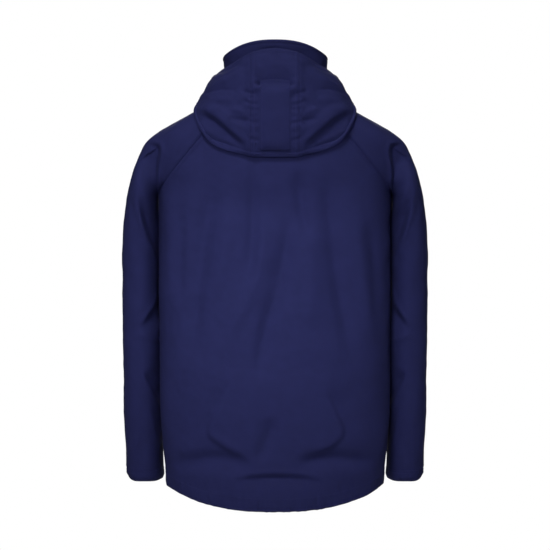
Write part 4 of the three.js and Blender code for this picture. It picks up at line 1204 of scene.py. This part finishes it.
def add_storm_flap():
    section = np.array(FLAP_SECTION)
    reach = np.concatenate(([0], np.cumsum(np.linalg.norm(np.diff(section, axis=0), axis=1))))
    width = reach[-1]
    along = spread(width, 1.8, ("start", "end"), 12) * width
    cut = corner(along, 13)[None, :]
    z = mix(FLAP["top"] - cut, FLAP["bottom"] + cut, spread(705, 4.0, ("start", "end"), 10)[:, None])
    grid = relaxed(on_front(np.interp(along, reach, section[:, 0]), np.interp(along, reach, section[:, 1]), z), 3)
    lift = 0.7 * noise(grid * np.array([1, 1, 0.7]), 60, 101) + 0.25 * noise(grid, 18, 102)
    lift *= smoothstep(np.minimum(along, width - along), 0, 12)
    lift -= 0.35 * (hump(along, 7, 0.9) + hump(width - along, 7.5, 0.9))
    grid = raised(grid, lift)
    add_cloth("storm_flap_cloth", grid, 2.0, "storm_flap", "shell_fabric", SHELL, ["storm_flap"], "hung",
              ["front_cloth_left"], inside=LINING)
    add_stitches("storm_flap_stitches", "storm_flap",
                 [(grid, ["first_column"], [7]), (grid, ["last_column"], [2, 7.5]), (grid, EDGES[:2], [7])])
    z = np.arange(FLAP["top"] - 40, FLAP["bottom"] + 39, -5.0)[:, None]
    for name, node, body, under, x0, y0, facing in (
            ("hook_tape", "storm_flap_hook_strip", "shell", "front_cloth_right", -32, -1.9, 1),
            ("loop_tape", "storm_flap_loop_strip", "storm_flap", "storm_flap_cloth", -30, -6.1, -1)):
        strip = on_front(np.linspace(x0, -12, 14)[None, :], y0, z)
        add_cloth(name, strip, 1.2, body, "hook_and_loop", LOOPS, [node], "laid", [under], outward=facing)


STUD_CAP = [(7.0, 0), (7.5, 0.35), (7.5, 0.8), (7.2, 1.25), (6.5, 1.5), (5.8, 1.3), (5.2, 1.3), (4.6, 1.5),
            (2.5, 1.62), (0.1, 1.66)]
STUD_POST = [(4.7, 0), (5.0, 0.3), (5.0, 0.7), (4.5, 1.0), (3.3, 1.1), (2.8, 1.5), (2.6, 3.6), (2.9, 4.3), (2.9, 4.8),
             (2.4, 5.4), (0.1, 5.6)]


def add_studs():
    out = on_front(0, -1, 0) - on_front(0, 0, 0)
    for place, z in STUD_PLACES.items():
        turned("stud_dome_" + place, STUD_CAP, on_front(-24, -10.1, z), out, "storm_flap", "metal", METAL,
               "stud_cap_" + place)
        turned("stud_peg_" + place, STUD_POST, on_front(-24, -0.9, z), out, "shell", "metal", METAL,
               "stud_post_" + place)


# ---- Pockets ----

POCKET = {"from": 62, "to": 172, "top": -525, "bottom": -690, "depth": 14, "ramp": 9}
POCKET_FLAP = {"from": 58, "to": 176, "top": -496, "bottom": -572, "stand_off": 18.4, "slant": 20}


def pocket_grid():
    width, height = POCKET["to"] - POCKET["from"], POCKET["top"] - POCKET["bottom"]
    x = POCKET["from"] + spread(width, 2.2, ("start", "end"), 14)[None, :] * width
    z = (POCKET["top"] - spread(height, 2.4, ("start", "end"), 14) * height)[:, None]
    inside = np.minimum(np.minimum(x - POCKET["from"], POCKET["to"] - x), z - POCKET["bottom"])
    out = 3 + POCKET["depth"] * smoothstep(inside, 0, POCKET["ramp"])
    out += smoothstep(inside, 8, 40) * 1.2 * noise(xyz(x, 0, z), 45, 111)
    grid = front_point(x, z, out)
    return raised(grid, 0.35 * noise(grid, 12, 112) * smoothstep(inside, 0, 4))


def pocket_flap_grid():
    width = POCKET_FLAP["to"] - POCKET_FLAP["from"]
    along = spread(width, 2.4, ("start", "end"), 12)
    cut = corner(np.minimum(along, 1 - along) * width, 12)[None, :]
    z = mix(POCKET_FLAP["top"], POCKET_FLAP["bottom"] + cut, spread(76, 2.0, ("start", "end"), 12)[:, None])
    drop = POCKET_FLAP["top"] - z
    out = mix(3.0, POCKET_FLAP["stand_off"] + 2, smoothstep(drop, 0, POCKET_FLAP["slant"]))
    grid = front_point(POCKET_FLAP["from"] + along[None, :] * width, z, out)
    return raised(grid, smoothstep(drop, 4, 30) * (0.8 * noise(grid, 38, 115) + 0.3 * noise(grid, 13, 116)))


def add_pockets():
    for side, own, flap in both_sides(pocket_grid(), pocket_flap_grid()):
        cover = "pocket_flap_" + side
        add_cloth("pocket_cloth_" + side, own, 1.6, "shell", "shell_fabric", SHELL, ["pocket_" + side], "hung",
                  ["front_cloth_" + side], inside=LINING)
        add_stitches("pocket_stitches_" + side, "shell", [(own, EDGES[:1], [2.5, 16]), (own, EDGES[1:], [2.0, 11.5])])
        add_cloth("pocket_flap_cloth_" + side, flap, 1.8, cover, "shell_fabric", SHELL, [cover], "hung",
                  ["front_cloth_" + side], inside=LINING)
        add_stitches("pocket_flap_stitches_" + side, cover, [(flap, EDGES[:1], [2.0, 7.5]), (flap, EDGES[1:], [5.0])])


# ---- Linings, hem and small trim ----

def satin_under(grid, column, first, seed):
    """A lining inside a panel, between the two levels where the jacket is lined."""
    level = grid[:, column, 2]
    satin = grid[(level < -212) & (level > -690)][::4, first::4]
    return raised(satin, 1.3 * noise(satin, 60, seed) - 6.2)


def add_linings(back, front):
    add_cloth("back_satin", satin_under(back, back.shape[1] // 2, 0, 121), 0.8, "shell", "lining", LINING,
              ["back_lining"], "hung", ["back_cloth"])
    first = int(np.searchsorted(spans(front, 1)[len(front) // 2], 33))
    for side, own in both_sides(satin_under(front, -1, first, 123)):
        add_cloth("front_satin_" + side, own, 0.8, "shell", "lining", LINING, ["front_lining_" + side], "hung",
                  ["front_cloth_" + side])


LOCK_BARREL = [(5.6, -10), (6.6, -9.6), (7, -9), (7, -6.4), (6.5, -6.0), (6.5, -5.2), (7, -4.8), (7, -2.4),
               (6.5, -2.0), (6.5, -1.2), (7, -0.8), (7, 1.6), (6.5, 2.0), (6.5, 2.8), (7, 3.2), (7, 9.2),
               (6.6, 9.8), (5.5, 10), (5.0, 9.6), (5.0, -1), (0.1, -1)]
LOCK_BUTTON = [(4.2, 4), (4.5, 4.4), (4.5, 13.2), (4.2, 14.0), (3.4, 14.4), (1.5, 14.6), (0.1, 14.6)]


def add_hem(back):
    n = normals(back)
    turn = back[-1:] - n[-1:] * 0.7, back[-1:] - n[-1:] * 2.8 - np.array([0, 0, 1.3]), back[-2:-1] - n[-2:-1] * 5.2
    drop = spans(back[::-1], 0)[:, back.shape[1] // 2]
    rows = [-1 - i for i in range(2, 60) if 2 < drop[i] < 27]
    add_cloth("hem_turning", np.concatenate((*turn, back[rows] - n[rows] * 6.2)), 1.0, "shell", "lining", LINING,
              ["hem_facing"], "folded", ["back_cloth"])
    row = -1 - int(np.searchsorted(drop, 8.0))
    points, faces = tube((back[row] - n[row] * 3.4)[2:-2:2], 1.4, sides=12)
    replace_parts(new_piece("hem_elastic", points, faces, "shell", RIB), "hem_cord")
    for side, sign in SIDES.items():
        place = body_point(-0.05, -712.0, 13.0) * np.array([sign, 1, 1])
        turned("cord_lock_barrel_" + side, LOCK_BARREL, place, (0, 0, 1), "shell", "moulded", PLASTIC,
               "cord_lock_" + side)
        turned("cord_lock_plunger_" + side, LOCK_BUTTON, place, (0, 0, 1), "cord_lock_button_" + side, "moulded",
               PLASTIC, "cord_lock_button_" + side)


def add_neck_trim():
    rounded("hanger_loop", "shell", TAPE, 0.35)
    x, z = np.meshgrid(np.linspace(-24, 24, 40), np.linspace(-24, -46, 22))
    label = xyz(x, 58, z)
    label = raised(label, 0.25 * noise(label, 14, 131))
    add_cloth("neck_label_cloth", label, 0.8, "shell", "label", BLANK_LABEL, ["neck_label"], "hung",
              ["hanger_loop_rounded"])


# ---- Stitches on the main seams ----

def add_seam_stitches(back, front, sleeve, collar, hood_centre, hood_side):
    seams = [(back, EDGES[2:], [1.9, 7.4]), (back, ["last_row"], [2.5, 22.5])]
    for own, at_zip, at_side in ((front, "first_column", "last_column"),
                                 (mirrored(front), "last_column", "first_column")):
        seams += [(own, [at_side], [1.9, 7.4]), (own, [at_zip], [2.0, 6.0]), (own, ["last_row"], [22.5])]
    rim_row = 9
    add_stitches("body_stitches", "shell", seams,
                 lines=[(collar[k], normals(collar)[k]) for k in (rim_row, len(collar) - 2)])
    for side, own in both_sides(sleeve):
        add_stitches("cuff_stitches_" + side, "sleeve_" + side, [(own, ["last_row"], [2.5, 20.5])])
    seams = [(hood_centre, EDGES[2:], [1.9, 7.4])]
    for own in (hood_centre, hood_side, mirrored(hood_side)):
        seams += [(own, ["first_row"], [2.5, 16.0]), (own, ["last_row"], [2.5, 7.0])]
    seams += [(hood_side, ["first_column"], [1.9]), (mirrored(hood_side), ["last_column"], [1.9])]
    add_stitches("hood_stitches", "hood", seams, outward=-1)


add_camera()
add_stage()
back = add_back()
front_panel = add_fronts()
sleeve = add_sleeves()
add_cuff_tabs(sleeve)
collar = add_collar()
hood_centre, hood_side = add_hood()
add_hood_trim(hood_centre, hood_side)
add_neck_panel()
add_zip()
add_storm_flap()
add_studs()
add_pockets()
add_linings(back, front_panel)
add_hem(back)
add_neck_trim()
add_seam_stitches(back, front_panel, sleeve, collar, hood_centre, hood_side)
